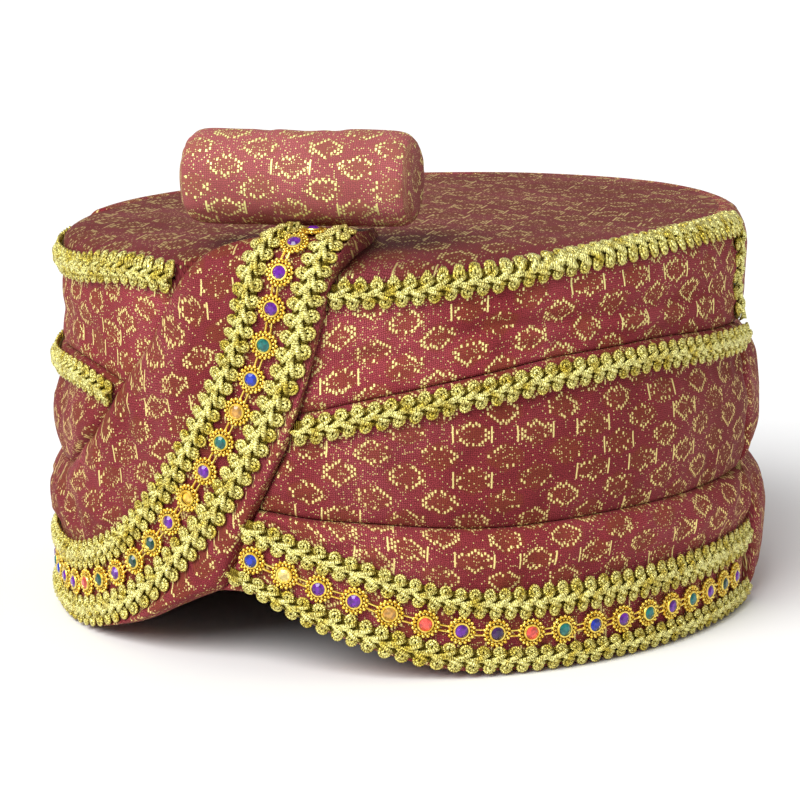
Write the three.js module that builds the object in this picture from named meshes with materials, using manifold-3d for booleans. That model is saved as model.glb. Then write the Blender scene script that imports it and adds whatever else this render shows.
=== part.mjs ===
// A ready tied pagri: a stiff crown with folds of padded brocade wound round it, a wide band
// that climbs across the front to a padded roll, a pleated back panel, and sewn-on trims.
// Millimetres, +Z up. The wearer's front is -Y and the hem rests on Z = 0.

import * as THREE from 'three';
import { mergeVertices } from 'three/addons/utils/BufferGeometryUtils.js';
import Module from 'manifold-3d';

const wasm = await Module();
wasm.setup();

// The oval that the trims' outer faces follow. Offsets, called out, are measured from it
const HALF_LENGTH = 118.9;
const HALF_WIDTH = 106;
const HOLLOW_OUT = -19.5;
const CROWN_OUT = -17;
const WRAP_OUT = -16.6;
const UPPER_BED_OUT = -5.2;
const MIDDLE_BED_OUT = -3.8;
const TRIM_BED_OUT = -2.2;

// Distance kept between pieces that touch
const GAP = 0.4;

// Height of the crown's top in the middle, and how much higher it stands towards +X
const TOP = 112.2;
const TOP_TILT = 0.01;
const TOP_THICKNESS = 3;
const RIM_DROP = 4.5;

// How far round from the front, along the oval, the wound folds reach on each side
const SEAM = 167;
const ROUND_STEPS = 52;

// The heights round the front: the two braided edges at their middle, the plain fold's edge,
// the hem, and how far inwards the top's rounding takes to become level
const FOLDS = [
  { along: -168, upper: 103.6, middle: 72.0, lower: 42.0, hem: 0, soft: 14 },
  { along: -128, upper: 104.2, middle: 72.0, lower: 42.0, hem: 0, soft: 14 },
  { along: -94, upper: 104.7, middle: 73.4, lower: 42.0, hem: 0, soft: 15 },
  { along: -78, upper: 105.1, middle: 71.8, lower: 42.4, hem: 4.5, soft: 19 },
  { along: -62, upper: 105.3, middle: 68.3, lower: 43.0, hem: 8.5, soft: 28 },
  { along: -50, upper: 104.8, middle: 66.5, lower: 43.6, hem: 12.2, soft: 36 },
  { along: -38, upper: 104.2, middle: 65.6, lower: 44.2, hem: 17.4, soft: 42 },
  { along: -25, upper: 103.6, middle: 65.4, lower: 44.6, hem: 21.4, soft: 44 },
  { along: -12, upper: 103.2, middle: 66.0, lower: 44.0, hem: 20.4, soft: 45 },
  { along: 0, upper: 103.0, middle: 67.1, lower: 42.7, hem: 14.2, soft: 45 },
  { along: 14, upper: 103.0, middle: 70.2, lower: 42.0, hem: 8.9, soft: 45 },
  { along: 28, upper: 103.8, middle: 72.9, lower: 41.1, hem: 4.4, soft: 42 },
  { along: 41, upper: 105.3, middle: 75.3, lower: 40.1, hem: 1.4, soft: 38 },
  { along: 55, upper: 106.8, middle: 77.5, lower: 39.5, hem: 0.3, soft: 30 },
  { along: 70, upper: 109.0, middle: 79.6, lower: 39.8, hem: 0, soft: 22 },
  { along: 87, upper: 110.8, middle: 80.6, lower: 40.2, hem: 0, soft: 16 },
  { along: 106, upper: 112.2, middle: 81.1, lower: 40.2, hem: 0, soft: 12 },
  { along: 131, upper: 112.9, middle: 80.1, lower: 40.2, hem: 0, soft: 10 },
  { along: 168, upper: 112.0, middle: 78.3, lower: 39.6, hem: 0, soft: 10 },
];

// The swell of each wound fold below its braid or rolled edge, by share of its height
const UPPER_SWELL = [
  { share: 0, out: -7.6 },
  { share: 0.22, out: -6.7 },
  { share: 0.45, out: -7.0 },
  { share: 0.7, out: -5.7 },
];
const MIDDLE_SWELL = [
  { share: 0, out: -5.6 },
  { share: 0.2, out: -3.7 },
  { share: 0.6, out: -2.4 },
];
const LOWER_SWELL = [
  { share: 0.12, out: -1.2 },
  { share: 0.5, out: -0.1 },
  { share: 0.85, out: -0.9 },
  { share: 1, out: -3.4 },
];
const FULL_SWELL_HEIGHT = 12;

// The pleated back panel's outer face, from its hem up over its three rolled pleats
const BACK_PANEL = [
  { up: 0, out: -3 },
  { up: 4, out: -1.1 },
  { up: 25, out: 0.4 },
  { up: 35, out: -1.6 },
  { up: 39.2, out: -4.8 },
  { up: 43, out: -2.7 },
  { up: 60, out: -2 },
  { up: 74, out: -3.8 },
  { up: 78.6, out: -7.5 },
  { up: 84, out: -6.8 },
  { up: 108, out: -5.9 },
  { up: 112.4, out: -8.4 },
  { up: 113.6, out: -12 },
  { up: 112.8, out: -15.2 },
];

// The front band, from under the roll, down across the front and round the left as its lower fold.
// along and up give the row of stones of its trim. margin is the cloth left of or above the trim,
// right the trim's width on its other side, and strip the rolled cloth beyond that. lip and middle
// are the thickness near the margin's edge and in its middle, as shares of that under the trim
const BAND = [
  { along: 2, up: 160, margin: 14, right: 13.2, strip: 0.6, lip: 0.8, middle: 0.95 },
  { along: 1, up: 138, margin: 16, right: 13.4, strip: 0.6, lip: 0.55, middle: 0.75 },
  { along: -1, up: 128, margin: 17, right: 13.4, strip: 0.6, lip: 0.5, middle: 0.7 },
  { along: -4, up: 118, margin: 18, right: 13.4, strip: 0.6, lip: 0.5, middle: 0.75 },
  { along: -7, up: 107, margin: 20, right: 13.2, strip: 0.6, lip: 0.7, middle: 0.9 },
  { along: -11.2, up: 88.8, margin: 22.5, right: 12.6, strip: 1, lip: 0.8, middle: 1.1 },
  { along: -19.4, up: 70.8, margin: 24, right: 12.6, strip: 3.6, lip: 0.85, middle: 1.15 },
  { along: -30.2, up: 53.5, margin: 27, right: 12.6, strip: 5.6, lip: 0.95, middle: 1.15 },
  { along: -36.6, up: 45.2, margin: 28, right: 12.6, strip: 8, lip: 1, middle: 1.15 },
  { along: -41.8, up: 39.5, margin: 28.6, right: 12.6, strip: 11.4, lip: 1.05, middle: 1.15 },
  { along: -46.5, up: 34.8, margin: 28.7, right: 12.6, strip: 9, lip: 1.1, middle: 1.2 },
  { along: -52.5, up: 29.3, margin: 28.6, right: 12.6, strip: 5.6, lip: 1.15, middle: 1.2 },
  { along: -61.5, up: 22.9, margin: 28, right: 12.6, strip: 3, lip: 1.3, middle: 1.25 },
  { along: -75, up: 17, margin: 27, right: 12.6, strip: 0.9, lip: 1.5, middle: 1.35 },
  { along: -85, up: 13.9, margin: 25, right: 12.2, strip: 0.4, lip: 1.6, middle: 1.45 },
  { along: -95, up: 12, margin: 23, right: 11.3, strip: 0.4, lip: 1.6, middle: 1.6 },
  { along: -107, up: 11.5, margin: 21, right: 10.9, strip: 0.4, lip: 1.55, middle: 1.7 },
  { along: -171, up: 11.5, margin: 20.6, right: 10.9, strip: 0.4, lip: 1.5, middle: 1.7 },
];
const PAST_SEAM = 171 - SEAM;
const BAND_LEFT = 11.8;
const BAND_EDGE_SHARE = 0.35;
const BAND_STRIP_SHARE = 1.35;
const BAND_STEPS = 27;

// Where the band's trim and its under face lie when they are followed up the wall and over the rim
const BAND_OVER = [
  { up: 0, height: 0, out: 0 },
  { up: 96, height: 96, out: 0 },
  { up: 104, height: 104, out: -0.1 },
  { up: 111, height: 110.8, out: -1.2 },
  { up: 116, height: 115, out: -3.8 },
  { up: 121, height: 118, out: -8 },
  { up: 127, height: 119.1, out: -14 },
  { up: 137, height: 119, out: -24 },
  { up: 147, height: 118.6, out: -34 },
  { up: 154, height: 117.6, out: -41 },
  { up: 161, height: 116, out: -48 },
];
const BAND_UNDER = [
  { up: 0, height: 0, out: -5.6 },
  { up: 96, height: 96, out: -5.6 },
  { up: 104, height: 102.8, out: -6.2 },
  { up: 110, height: 106.2, out: -9 },
  { up: 116, height: 109, out: -13 },
  { up: 122, height: 110.9, out: -18 },
  { up: 132, height: 111.9, out: -27 },
  { up: 147, height: 112.6, out: -40 },
  { up: 161, height: 112.9, out: -52 },
];

// The hem's trim on the right: its row of stones, and its width above and below them
const HEM = [
  { along: -34, up: 37.6, above: 11, below: 8.8 },
  { along: -15.6, up: 31.3, above: 11, below: 8.8 },
  { along: -5.9, up: 28, above: 11, below: 10 },
  { along: 3.8, up: 24.8, above: 11, below: 11.2 },
  { along: 13.3, up: 21.8, above: 10.9, below: 11.8 },
  { along: 22.7, up: 18.4, above: 10.9, below: 11.8 },
  { along: 32, up: 15.5, above: 11, below: 11.4 },
  { along: 41.8, up: 13.2, above: 11.3, below: 11.2 },
  { along: 52.1, up: 11.8, above: 12, below: 10.9 },
  { along: 64, up: 11, above: 13, below: 10.4 },
  { along: 80, up: 10.7, above: 13.4, below: 10.2 },
  { along: 165.4, up: 10.7, above: 13.4, below: 10.2 },
];
const HEM_STEPS = 18;

// A jewelled trim is two gimp braids with a string of round settings between them
const BRAID_HEIGHT = 1.8;
const BRAID_WIDTH = 7.6;
const STONE_ROOM = 4.3;
const STONE_PITCH = 10;
const BAND_FIRST_STONE = 32;
const BAND_LAST_MARGIN = 5;
const HEM_FIRST_STONE = 19.4;
const HEM_STONES = 18;
const SETTING_SIDES = 10;
const LINK = { reach: 3.3, width: 0.9, height: 0.6, raised: 0.15 };

// Half of a round setting's section: its disc, the slope up to the bezel, and the stone's
// facets and table
const SETTING = [
  { radius: 0, height: 0 },
  { radius: 3.95, height: 0 },
  { radius: 3.95, height: 0.9 },
  { radius: 2.1, height: 1.7 },
  { radius: 1, height: 2.2 },
  { radius: 0, height: 2.2 },
];

// The upright stretch of braid where the folds meet the back panel
const SIDE_BRAID = { along: 162.3, width: 6.6 };

// The padded roll across the top of the band, and its rounded end from the axis outwards
const ROLL = { x: -7.5, y: -90, z: 130.4, radius: 12.9, half: 31.6, sides: 22 };
const ROLL_END = [
  { radius: 0, inset: 0.4 },
  { radius: 7.5, inset: 0 },
  { radius: 11.4, inset: 1.5 },
  { radius: 12.9, inset: 6 },
];

const BROCADE = { color: 0x96434a, roughness: 0.55, metalness: 0.1 };
const BRAID_GOLD = { color: 0xcdb455, roughness: 0.35, metalness: 0.7 };
const SETTING_GOLD = { color: 0xd9a92c, roughness: 0.28, metalness: 0.85 };

// One full turn of the oval, measured from the front towards +X
const oval = new THREE.EllipseCurve(0, 0, HALF_WIDTH, HALF_LENGTH, -Math.PI / 2, 1.5 * Math.PI);
oval.arcLengthDivisions = 720;
const PERIMETER = oval.getLength();

function angleAt(along) {
  const share = THREE.MathUtils.euclideanModulo(along, PERIMETER) / PERIMETER;
  return 2 * Math.PI * oval.getUtoTmapping(share);
}

function place(along, up, out) {
  const angle = angleAt(along);
  const x = (HALF_WIDTH + out) * Math.sin(angle);
  const y = -(HALF_LENGTH + out) * Math.cos(angle);
  return new THREE.Vector3(x, y, up);
}

// A table's columns as smooth functions of one of them
function smoothTable(rows, key) {
  const names = Object.keys(rows[0]);
  const places = rows.map((row) => row[key]);
  const values = rows.flatMap((row) => names.map((name) => row[name]));
  const curve = new THREE.CubicInterpolant(places, values, names.length);
  return (position) => {
    const found = curve.evaluate(position);
    return Object.fromEntries(names.map((name, index) => [name, found[index]]));
  };
}

// The same rows with the distance walked from the first one as a further column
function withDistance(rows) {
  let walked = 0;
  return rows.map((row, index) => {
    const last = rows[Math.max(index - 1, 0)];
    walked += Math.hypot(row.along - last.along, row.up - last.up);
    return { ...row, walked };
  });
}

const foldsAt = smoothTable(FOLDS, 'along');
const bandOver = smoothTable(BAND_OVER, 'up');
const bandUnder = smoothTable(BAND_UNDER, 'up');
const bandRows = withDistance(BAND);
const bandAt = smoothTable(bandRows, 'walked');
const BAND_LENGTH = bandRows.at(-1).walked - PAST_SEAM;
const hemRows = withDistance(HEM);
const hemAt = smoothTable(hemRows, 'walked');
const hemTrimAt = smoothTable(HEM, 'along');
const HEM_LENGTH = hemRows.at(-1).walked;

function evenly(from, to, steps) {
  return Array.from({ length: steps + 1 }, (_, k) => from + ((to - from) * k) / steps);
}

// Places shared by all the pieces that follow the oval, so that their flats line up
function stations(from, to) {
  const step = PERIMETER / ROUND_STEPS;
  const first = Math.ceil((from + 2) / step);
  const last = Math.floor((to - 2) / step);
  return [from, ...Array.from({ length: last - first + 1 }, (_, k) => (first + k) * step), to];
}

// Turns a closed shell's faces outwards and drops the triangles that a merge left without area
function facingOut(geometry) {
  const at = geometry.attributes.position;
  const corner = (index) => new THREE.Vector3().fromBufferAttribute(at, index);
  const kept = [];
  let volume = 0;
  for (let i = 0; i < geometry.index.count; i += 3) {
    const [a, b, c] = [0, 1, 2].map((k) => geometry.index.getX(i + k));
    if (a === b || b === c || c === a) continue;
    kept.push([a, b, c]);
    volume += corner(a).dot(corner(b).cross(corner(c)));
  }
  geometry.setIndex(kept.flatMap(([a, b, c]) => (volume < 0 ? [a, c, b] : [a, b, c])));
  return geometry;
}

function solidGeometry(points, triangles) {
  const numbers = points.flatMap((point) => point.toArray());
  const geometry = new THREE.BufferGeometry();
  geometry.setAttribute('position', new THREE.Float32BufferAttribute(numbers, 3));
  geometry.setIndex(triangles);
  return facingOut(geometry);
}

// A solid through closed outlines, one at each place of a list, with both ends capped.
// outlineAt gives the outline's points in its own plane, and placeAt puts one of them in space
function loft(list, outlineAt, placeAt) {
  const outlines = list.map(outlineAt);
  const size = outlines[0].length;
  const points = outlines.flatMap((outline, row) => outline.map((point) => placeAt(list[row], point)));
  const triangles = [];
  for (let row = 0; row + 1 < list.length; row += 1) {
    for (let k = 0; k < size; k += 1) {
      const a = row * size + k;
      const b = row * size + ((k + 1) % size);
      triangles.push(a, b, a + size, b, b + size, a + size);
    }
  }
  const lastStart = (list.length - 1) * size;
  for (const [a, b, c] of capTriangles(outlines[0])) triangles.push(a, c, b);
  for (const [a, b, c] of capTriangles(outlines.at(-1))) {
    triangles.push(lastStart + a, lastStart + b, lastStart + c);
  }
  return solidGeometry(points, triangles);
}

// An outline's own triangles, wound the way that the outline's points run
function capTriangles(outline) {
  const clockwise = THREE.ShapeUtils.isClockWise(outline);
  return THREE.ShapeUtils.triangulateShape(outline, []).map(([a, b, c]) => {
    const [p, q, r] = [outline[a], outline[b], outline[c]];
    const turnsRight = (q.x - p.x) * (r.y - p.y) - (q.y - p.y) * (r.x - p.x) < 0;
    return turnsRight === clockwise ? [a, b, c] : [a, c, b];
  });
}

// A shell of rings round the oval, closed at both ends by a point on its middle
function shellOfRings(rings, firstPole, lastPole) {
  const size = rings[0].length;
  const points = [firstPole, ...rings.flat(), lastPole];
  const triangles = [];
  for (let k = 0; k < size; k += 1) {
    const next = (k + 1) % size;
    triangles.push(0, 1 + k, 1 + next);
    for (let row = 0; row + 1 < rings.length; row += 1) {
      const a = 1 + row * size + k;
      const b = 1 + row * size + next;
      triangles.push(a, a + size, b, b, a + size, b + size);
    }
    const last = 1 + (rings.length - 1) * size;
    triangles.push(last + k, points.length - 1, last + next);
  }
  return solidGeometry(points, triangles);
}

function toSolid(geometry) {
  const bare = new THREE.BufferGeometry();
  bare.setAttribute('position', geometry.attributes.position.clone());
  bare.setIndex(geometry.index);
  const merged = facingOut(mergeVertices(bare, 1e-4));
  return new wasm.Manifold(new wasm.Mesh({
    numProp: 3,
    vertProperties: merged.attributes.position.array,
    triVerts: Uint32Array.from(merged.index.array),
  }));
}

function toGeometry(solid) {
  const mesh = solid.getMesh();
  const geometry = new THREE.BufferGeometry();
  geometry.setAttribute('position', new THREE.Float32BufferAttribute(mesh.vertProperties, 3));
  geometry.setIndex(Array.from(mesh.triVerts));
  return geometry;
}

const turban = new THREE.Group();

function addPiece(name, geometry, material) {
  const mesh = new THREE.Mesh(geometry, new THREE.MeshStandardMaterial(material));
  mesh.name = name;
  turban.add(mesh);
}

// The rim at a place round the front: where the cloth starts to round over, and by how much
function rimAt(along) {
  const row = foldsAt(along);
  const top = TOP + TOP_TILT * HALF_WIDTH * Math.sin(angleAt(along));
  const height = Math.min(row.upper + BRAID_WIDTH / 2, top - RIM_DROP);
  return { height, rise: top - height, soft: row.soft, upper: row.upper };
}

// A point of the rounding, which is a quarter of an ellipse
function roundingAt(rim, turn) {
  const up = rim.height + rim.rise * Math.sin(turn);
  const out = UPPER_BED_OUT - rim.soft * (1 - Math.cos(turn));
  const lean = Math.atan2(rim.soft * Math.sin(turn), rim.rise * Math.cos(turn));
  return { up, out, turn, lean };
}

// The cloth's face at a distance up the cloth from the hem: upright, then round over the rim
function faceAt(along, reach) {
  const rim = rimAt(along);
  if (reach <= rim.height) return { up: reach, out: UPPER_BED_OUT, turn: 0, lean: 0 };
  const step = 0.01;
  let turn = 0;
  let walked = rim.height;
  while (walked < reach && turn < Math.PI / 2) {
    walked += step * Math.hypot(rim.rise * Math.cos(turn), rim.soft * Math.sin(turn));
    turn += step;
  }
  return roundingAt(rim, turn);
}

// Height at which the crown's brim and the upper fold's top meet the crown's wall
function shelfAt(along) {
  const rim = rimAt(along);
  return Math.min(faceAt(along, rim.upper).up - 0.8, rim.height + rim.rise - 5.5);
}

// A place on the band's trim: side is the distance from its stones, to the left when positive,
// and lift the distance outwards from the trim's outer face
function besideBand(walked, side) {
  const here = bandAt(walked);
  const ahead = bandAt(walked + 0.5);
  const behind = bandAt(Math.max(walked - 0.5, 0));
  const run = Math.hypot(ahead.along - behind.along, ahead.up - behind.up);
  const along = here.along + (side * (ahead.up - behind.up)) / run;
  const up = here.up - (side * (ahead.along - behind.along)) / run;
  return { along, up };
}

function bandFace(up, lift) {
  const face = bandOver(up);
  const above = bandOver(up + 0.5);
  const below = bandOver(Math.max(up - 0.5, 0));
  const slope = Math.hypot(above.height - below.height, above.out - below.out);
  const height = face.height - (lift * (above.out - below.out)) / slope;
  const out = face.out + (lift * (above.height - below.height)) / slope;
  return { height, out };
}

function onBand(walked, side, lift) {
  const { along, up } = besideBand(walked, side);
  const { height, out } = bandFace(up, lift);
  return place(along, height, out);
}

// A place on the hem's trim, with side measured upwards from its stones
function onHem(walked, side, lift) {
  const here = hemAt(walked);
  const ahead = hemAt(Math.min(walked + 0.5, HEM_LENGTH));
  const behind = hemAt(Math.max(walked - 0.5, 0));
  const run = Math.hypot(ahead.along - behind.along, ahead.up - behind.up);
  const along = here.along - (side * (ahead.up - behind.up)) / run;
  const up = here.up + (side * (ahead.along - behind.along)) / run;
  return place(along, up, lift);
}

// The band's solid. Its outline's points have a side, and a share of the thickness under the trim,
// from 0 on the under face. spare grows it on all sides, and a cover replaces its outer face
const bandSteps = evenly(0, BAND_LENGTH, BAND_STEPS);
function bandSolid(list, spare, cover) {
  const outlineAt = (walked) => {
    const row = bandAt(walked);
    const left = BAND_LEFT + row.margin + spare;
    const strip = Math.max(row.strip, 0.4);
    const right = -row.right - strip - spare;
    const bulge = THREE.MathUtils.lerp(1, BAND_STRIP_SHARE, Math.min(strip / 3, 1));
    const outer = [
      [left, BAND_EDGE_SHARE],
      [left - 1.4, row.lip - 0.12],
      [left - 4.5, row.lip],
      [BAND_LEFT + 0.42 * row.margin, row.middle],
      [BAND_LEFT + 0.4, 1],
      [0, 1],
      [-row.right, 1],
      [-row.right - 0.25 * strip, bulge],
      [-row.right - 0.7 * strip, bulge],
      [right, BAND_EDGE_SHARE],
    ];
    const under = [right, right / 2, left / 2, left].map((side) => [side, 0]);
    const covered = outer.map(([side, share]) => [side, cover || share]);
    return [...covered, ...under].map(([side, share]) => new THREE.Vector2(side, share));
  };
  const placeAt = (walked, { x: side, y: share }) => {
    const { along, up } = besideBand(walked, side);
    const bed = bandFace(up, TRIM_BED_OUT);
    const under = bandUnder(up);
    const sunk = up > 100 ? spare : 0;
    const height = THREE.MathUtils.lerp(under.height - sunk, bed.height, share) + Math.min(up, 0);
    const out = THREE.MathUtils.lerp(under.out - spare, bed.out, share);
    return place(along, height, out);
  };
  return loft(list, outlineAt, placeAt);
}

// Room for the band: its footprint with a gap all round, open outwards and past the seam
const COVER = 5;
const bandRoom = toSolid(bandSolid([...bandSteps, BAND_LENGTH + PAST_SEAM - 1], GAP, COVER));

function clearOfBand(geometry) {
  return toGeometry(toSolid(geometry).subtract(bandRoom));
}

function onOval(along, { x: out, y: up }) {
  return place(along, up, out);
}

// Room for the back panel, over which the crown's brim doesn't reach
function roomForPanel() {
  const inner = CROWN_OUT - 0.1;
  const outer = COVER;
  const high = TOP + COVER;
  const corners = [[inner, 0], [outer, 0], [outer, high], [inner, high]];
  const outlineAt = () => corners.map(([out, up]) => new THREE.Vector2(out, up));
  return toSolid(loft(stations(SEAM - GAP / 2, PERIMETER - SEAM + GAP / 2), outlineAt, onOval));
}

// Crown: its wall, its brim over the wound folds and its padded top in one, open below
function crownProfile(along) {
  const sideways = THREE.MathUtils.euclideanModulo(along + PERIMETER / 2, PERIMETER) - PERIMETER / 2;
  const near = THREE.MathUtils.clamp(sideways, -SEAM, SEAM);
  const rim = rimAt(near);
  const top = TOP + TOP_TILT * HALF_WIDTH * Math.sin(angleAt(along));
  const lift = top - rim.height - rim.rise;
  const edge = faceAt(near, rim.upper + 2 * GAP);
  const hem = Math.max(foldsAt(near).hem, 0) + 1.5;
  const rounding = [0.12, 0.3, 0.55, 1].map((share) => {
    const point = roundingAt(rim, THREE.MathUtils.lerp(edge.turn, Math.PI / 2, share));
    return { up: point.up + lift, out: point.out };
  });
  return [
    { up: top - TOP_THICKNESS, out: HOLLOW_OUT - 4 },
    { up: top - TOP_THICKNESS - 4, out: HOLLOW_OUT },
    { up: hem, out: HOLLOW_OUT },
    { up: hem, out: CROWN_OUT },
    { up: shelfAt(near) + lift, out: CROWN_OUT },
    { up: edge.up + lift, out: edge.out },
    ...rounding,
  ];
}

function crown() {
  const round = evenly(0, PERIMETER, ROUND_STEPS).slice(0, -1);
  const meridians = round.map((along) => crownProfile(along).map(({ up, out }) => place(along, up, out)));
  const rings = meridians[0].map((_, row) => meridians.map((meridian) => meridian[row]));
  const inside = new THREE.Vector3(0, 0, TOP - TOP_THICKNESS);
  const outside = new THREE.Vector3(0, 0, TOP + 0.8);
  const whole = toSolid(shellOfRings(rings, inside, outside));
  return toGeometry(whole.subtract(roomForPanel()).subtract(bandRoom));
}

addPiece('crown', crown(), BROCADE);

// The wound folds: padded tubes of cloth, the lower ones standing proud of those above
function foldSolid(facePoints) {
  const outlineAt = (along) => facePoints(along).map(({ up, out }) => new THREE.Vector2(out, up));
  return clearOfBand(loft(stations(-SEAM, SEAM), outlineAt, onOval));
}

function swell(rows, bottom, height) {
  return rows.map(({ share, out }) => ({ up: bottom + share * height, out }));
}

const foldTop = (along) => foldsAt(along).middle + BRAID_WIDTH / 2 + 0.5;
const upperBedFrom = (along) => foldsAt(along).upper - BRAID_WIDTH / 2 - 0.7;

function upperFold(along) {
  const bottom = foldTop(along) + GAP;
  const edge = faceAt(along, foldsAt(along).upper);
  return [
    { up: bottom, out: WRAP_OUT },
    ...swell(UPPER_SWELL, bottom, upperBedFrom(along) - bottom),
    { up: Math.min(upperBedFrom(along), rimAt(along).height), out: UPPER_BED_OUT },
    { up: edge.up, out: edge.out },
    { up: shelfAt(along) - 1.5 * GAP, out: WRAP_OUT },
  ];
}

function middleFold(along) {
  const row = foldsAt(along);
  const bottom = row.lower + GAP;
  const bed = row.middle - BRAID_WIDTH / 2 - 0.7;
  return [
    { up: bottom, out: WRAP_OUT },
    ...swell(MIDDLE_SWELL, bottom, bed - bottom),
    { up: bed, out: MIDDLE_BED_OUT },
    { up: foldTop(along) - 0.8, out: MIDDLE_BED_OUT },
    { up: foldTop(along), out: MIDDLE_BED_OUT - 1.5 },
    { up: foldTop(along), out: WRAP_OUT },
  ];
}

function lowerFold(along) {
  const row = foldsAt(along);
  const hem = Math.max(row.hem, 0);
  const trim = hemTrimAt(along);
  const bed = Math.min(trim.up + 1.05 * trim.above + 2 * GAP, row.lower - 2);
  const fullness = THREE.MathUtils.clamp((row.lower - bed) / FULL_SWELL_HEIGHT, 0, 1);
  const puffed = swell(LOWER_SWELL, bed, row.lower - bed).map(({ up, out }) => (
    { up, out: THREE.MathUtils.lerp(Math.min(out, TRIM_BED_OUT), out, fullness) }
  ));
  return [
    { up: hem, out: WRAP_OUT },
    { up: hem, out: TRIM_BED_OUT - 1.6 },
    { up: hem + 1.2, out: TRIM_BED_OUT },
    { up: bed, out: TRIM_BED_OUT },
    ...puffed,
    { up: row.lower, out: WRAP_OUT },
  ];
}

addPiece('upper_fold', foldSolid(upperFold), BROCADE);
addPiece('middle_fold', foldSolid(middleFold), BROCADE);
addPiece('lower_fold', foldSolid(lowerFold), BROCADE);

// Back panel: three pleats in one, from seam to seam round the back
function backPanel() {
  const ends = [SEAM + GAP / 2, PERIMETER - SEAM - GAP / 2];
  const list = stations(...ends);
  const outlineAt = (along) => {
    const tuck = ends.includes(along) ? 1.2 : 0;
    const face = BACK_PANEL.map(({ up, out }) => new THREE.Vector2(out - tuck, up));
    const inner = [0, BACK_PANEL.at(-1).up - 1.2].map((up) => new THREE.Vector2(WRAP_OUT, up));
    return [inner[0], ...face, inner[1]];
  };
  return loft(list, outlineAt, onOval);
}

addPiece('back_panel', backPanel(), BROCADE);
addPiece('front_band', bandSolid(bandSteps, 0), BROCADE);

// Roll: a stuffed tube of the same cloth, lying across the band
function roll() {
  const right = ROLL_END.map(({ radius, inset }) => new THREE.Vector2(radius, ROLL.half - inset));
  const left = ROLL_END.map(({ radius, inset }) => new THREE.Vector2(radius, inset - ROLL.half)).reverse();
  const geometry = new THREE.LatheGeometry([...right, ...left], ROLL.sides);
  geometry.rotateZ(-Math.PI / 2).translate(ROLL.x, ROLL.y, ROLL.z);
  return toGeometry(toSolid(geometry));
}

addPiece('top_roll', roll(), BROCADE);

// A braid's low section: a row of loops on both sides of a plait
const BRAID_SECTION = [
  { share: -0.5, rise: 0 },
  { share: 0, rise: 0 },
  { share: 0.5, rise: 0 },
  { share: 0.5, rise: 0.35 },
  { share: 0.27, rise: 1 },
  { share: 0, rise: 0.75 },
  { share: -0.27, rise: 1 },
  { share: -0.5, rise: 0.35 },
];

function braidOutline(middle, width, bed) {
  return BRAID_SECTION.map(({ share, rise }) => (
    new THREE.Vector2(middle + share * width, bed + GAP + rise * BRAID_HEIGHT)
  ));
}

// The braids along the upper and middle edges, on both sides of the band
function upperBraid(from, to) {
  const placeAt = (along, { x: side, y: lift }) => {
    const face = faceAt(along, foldsAt(along).upper + side);
    const out = face.out + lift * Math.cos(face.lean);
    return place(along, face.up + lift * Math.sin(face.lean), out);
  };
  return clearOfBand(loft(stations(from, to), () => braidOutline(0, BRAID_WIDTH, GAP), placeAt));
}

function middleBraid(from, to) {
  const outlineAt = () => braidOutline(0, BRAID_WIDTH, MIDDLE_BED_OUT);
  const placeAt = (along, { x: side, y: out }) => place(along, foldsAt(along).middle + side, out);
  return clearOfBand(loft(stations(from, to), outlineAt, placeAt));
}

// Each of these starts under the band, where it is cut to the band's edge
const BRAID_END = SIDE_BRAID.along + SIDE_BRAID.width / 2;
addPiece('upper_braid_left', upperBraid(-BRAID_END, -36), BRAID_GOLD);
addPiece('upper_braid_right', upperBraid(0, BRAID_END), BRAID_GOLD);
addPiece('middle_braid_left', middleBraid(-BRAID_END, -52), BRAID_GOLD);
addPiece('middle_braid_right', middleBraid(-10, BRAID_END), BRAID_GOLD);

// The upright braids at the seams, on the upper fold between the other two
function sideBraid(side) {
  const middle = side * SIDE_BRAID.along;
  const face = upperFold(middle).slice(1, -2);
  const low = foldTop(middle) + 1.2;
  const high = foldsAt(middle).upper - BRAID_WIDTH / 2 - GAP;
  const inner = face.filter(({ up }) => up > low + 1 && up < high - 1);
  const outAt = (up) => {
    const k = Math.max(face.findIndex((point) => point.up >= up), 1);
    const [a, b] = [face[k - 1], face[k]];
    return THREE.MathUtils.mapLinear(up, a.up, b.up, a.out, b.out);
  };
  const list = [low, ...inner.map(({ up }) => up), high];
  const outlineAt = () => braidOutline(0, SIDE_BRAID.width, 0.1);
  return loft(list, outlineAt, (up, point) => place(middle + point.x, up, outAt(up) + point.y));
}

addPiece('side_braid_left', sideBraid(-1), BRAID_GOLD);
addPiece('side_braid_right', sideBraid(1), BRAID_GOLD);

// A trim's braid lies against the trim's edge, clear of the stones. side is 1 or -1
function trimBraid(list, side, edgeAt, onPath) {
  const outlineAt = (walked) => {
    const edge = edgeAt(walked);
    const width = Math.min(BRAID_WIDTH, edge - STONE_ROOM);
    return braidOutline(side * (edge - width / 2), width, TRIM_BED_OUT + GAP / 2);
  };
  return loft(list, outlineAt, (walked, { x: across, y: lift }) => onPath(walked, across, lift));
}

// The band's trim ends under the roll at its top and at the seam on the left
const BAND_TRIM_TOP = 28;
const BAND_TRIM_END = BAND_LENGTH - 1.2;
const bandTrimSteps = [
  BAND_TRIM_TOP,
  ...bandSteps.filter((walked) => walked > BAND_TRIM_TOP + 2 && walked < BAND_TRIM_END - 2),
  BAND_TRIM_END,
];
const bandLeftBraid = trimBraid(bandTrimSteps, 1, () => BAND_LEFT, onBand);
const bandRightBraid = trimBraid(bandTrimSteps, -1, (walked) => bandAt(walked).right, onBand);
addPiece('band_left_braid', bandLeftBraid, BRAID_GOLD);
addPiece('band_right_braid', bandRightBraid, BRAID_GOLD);

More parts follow.
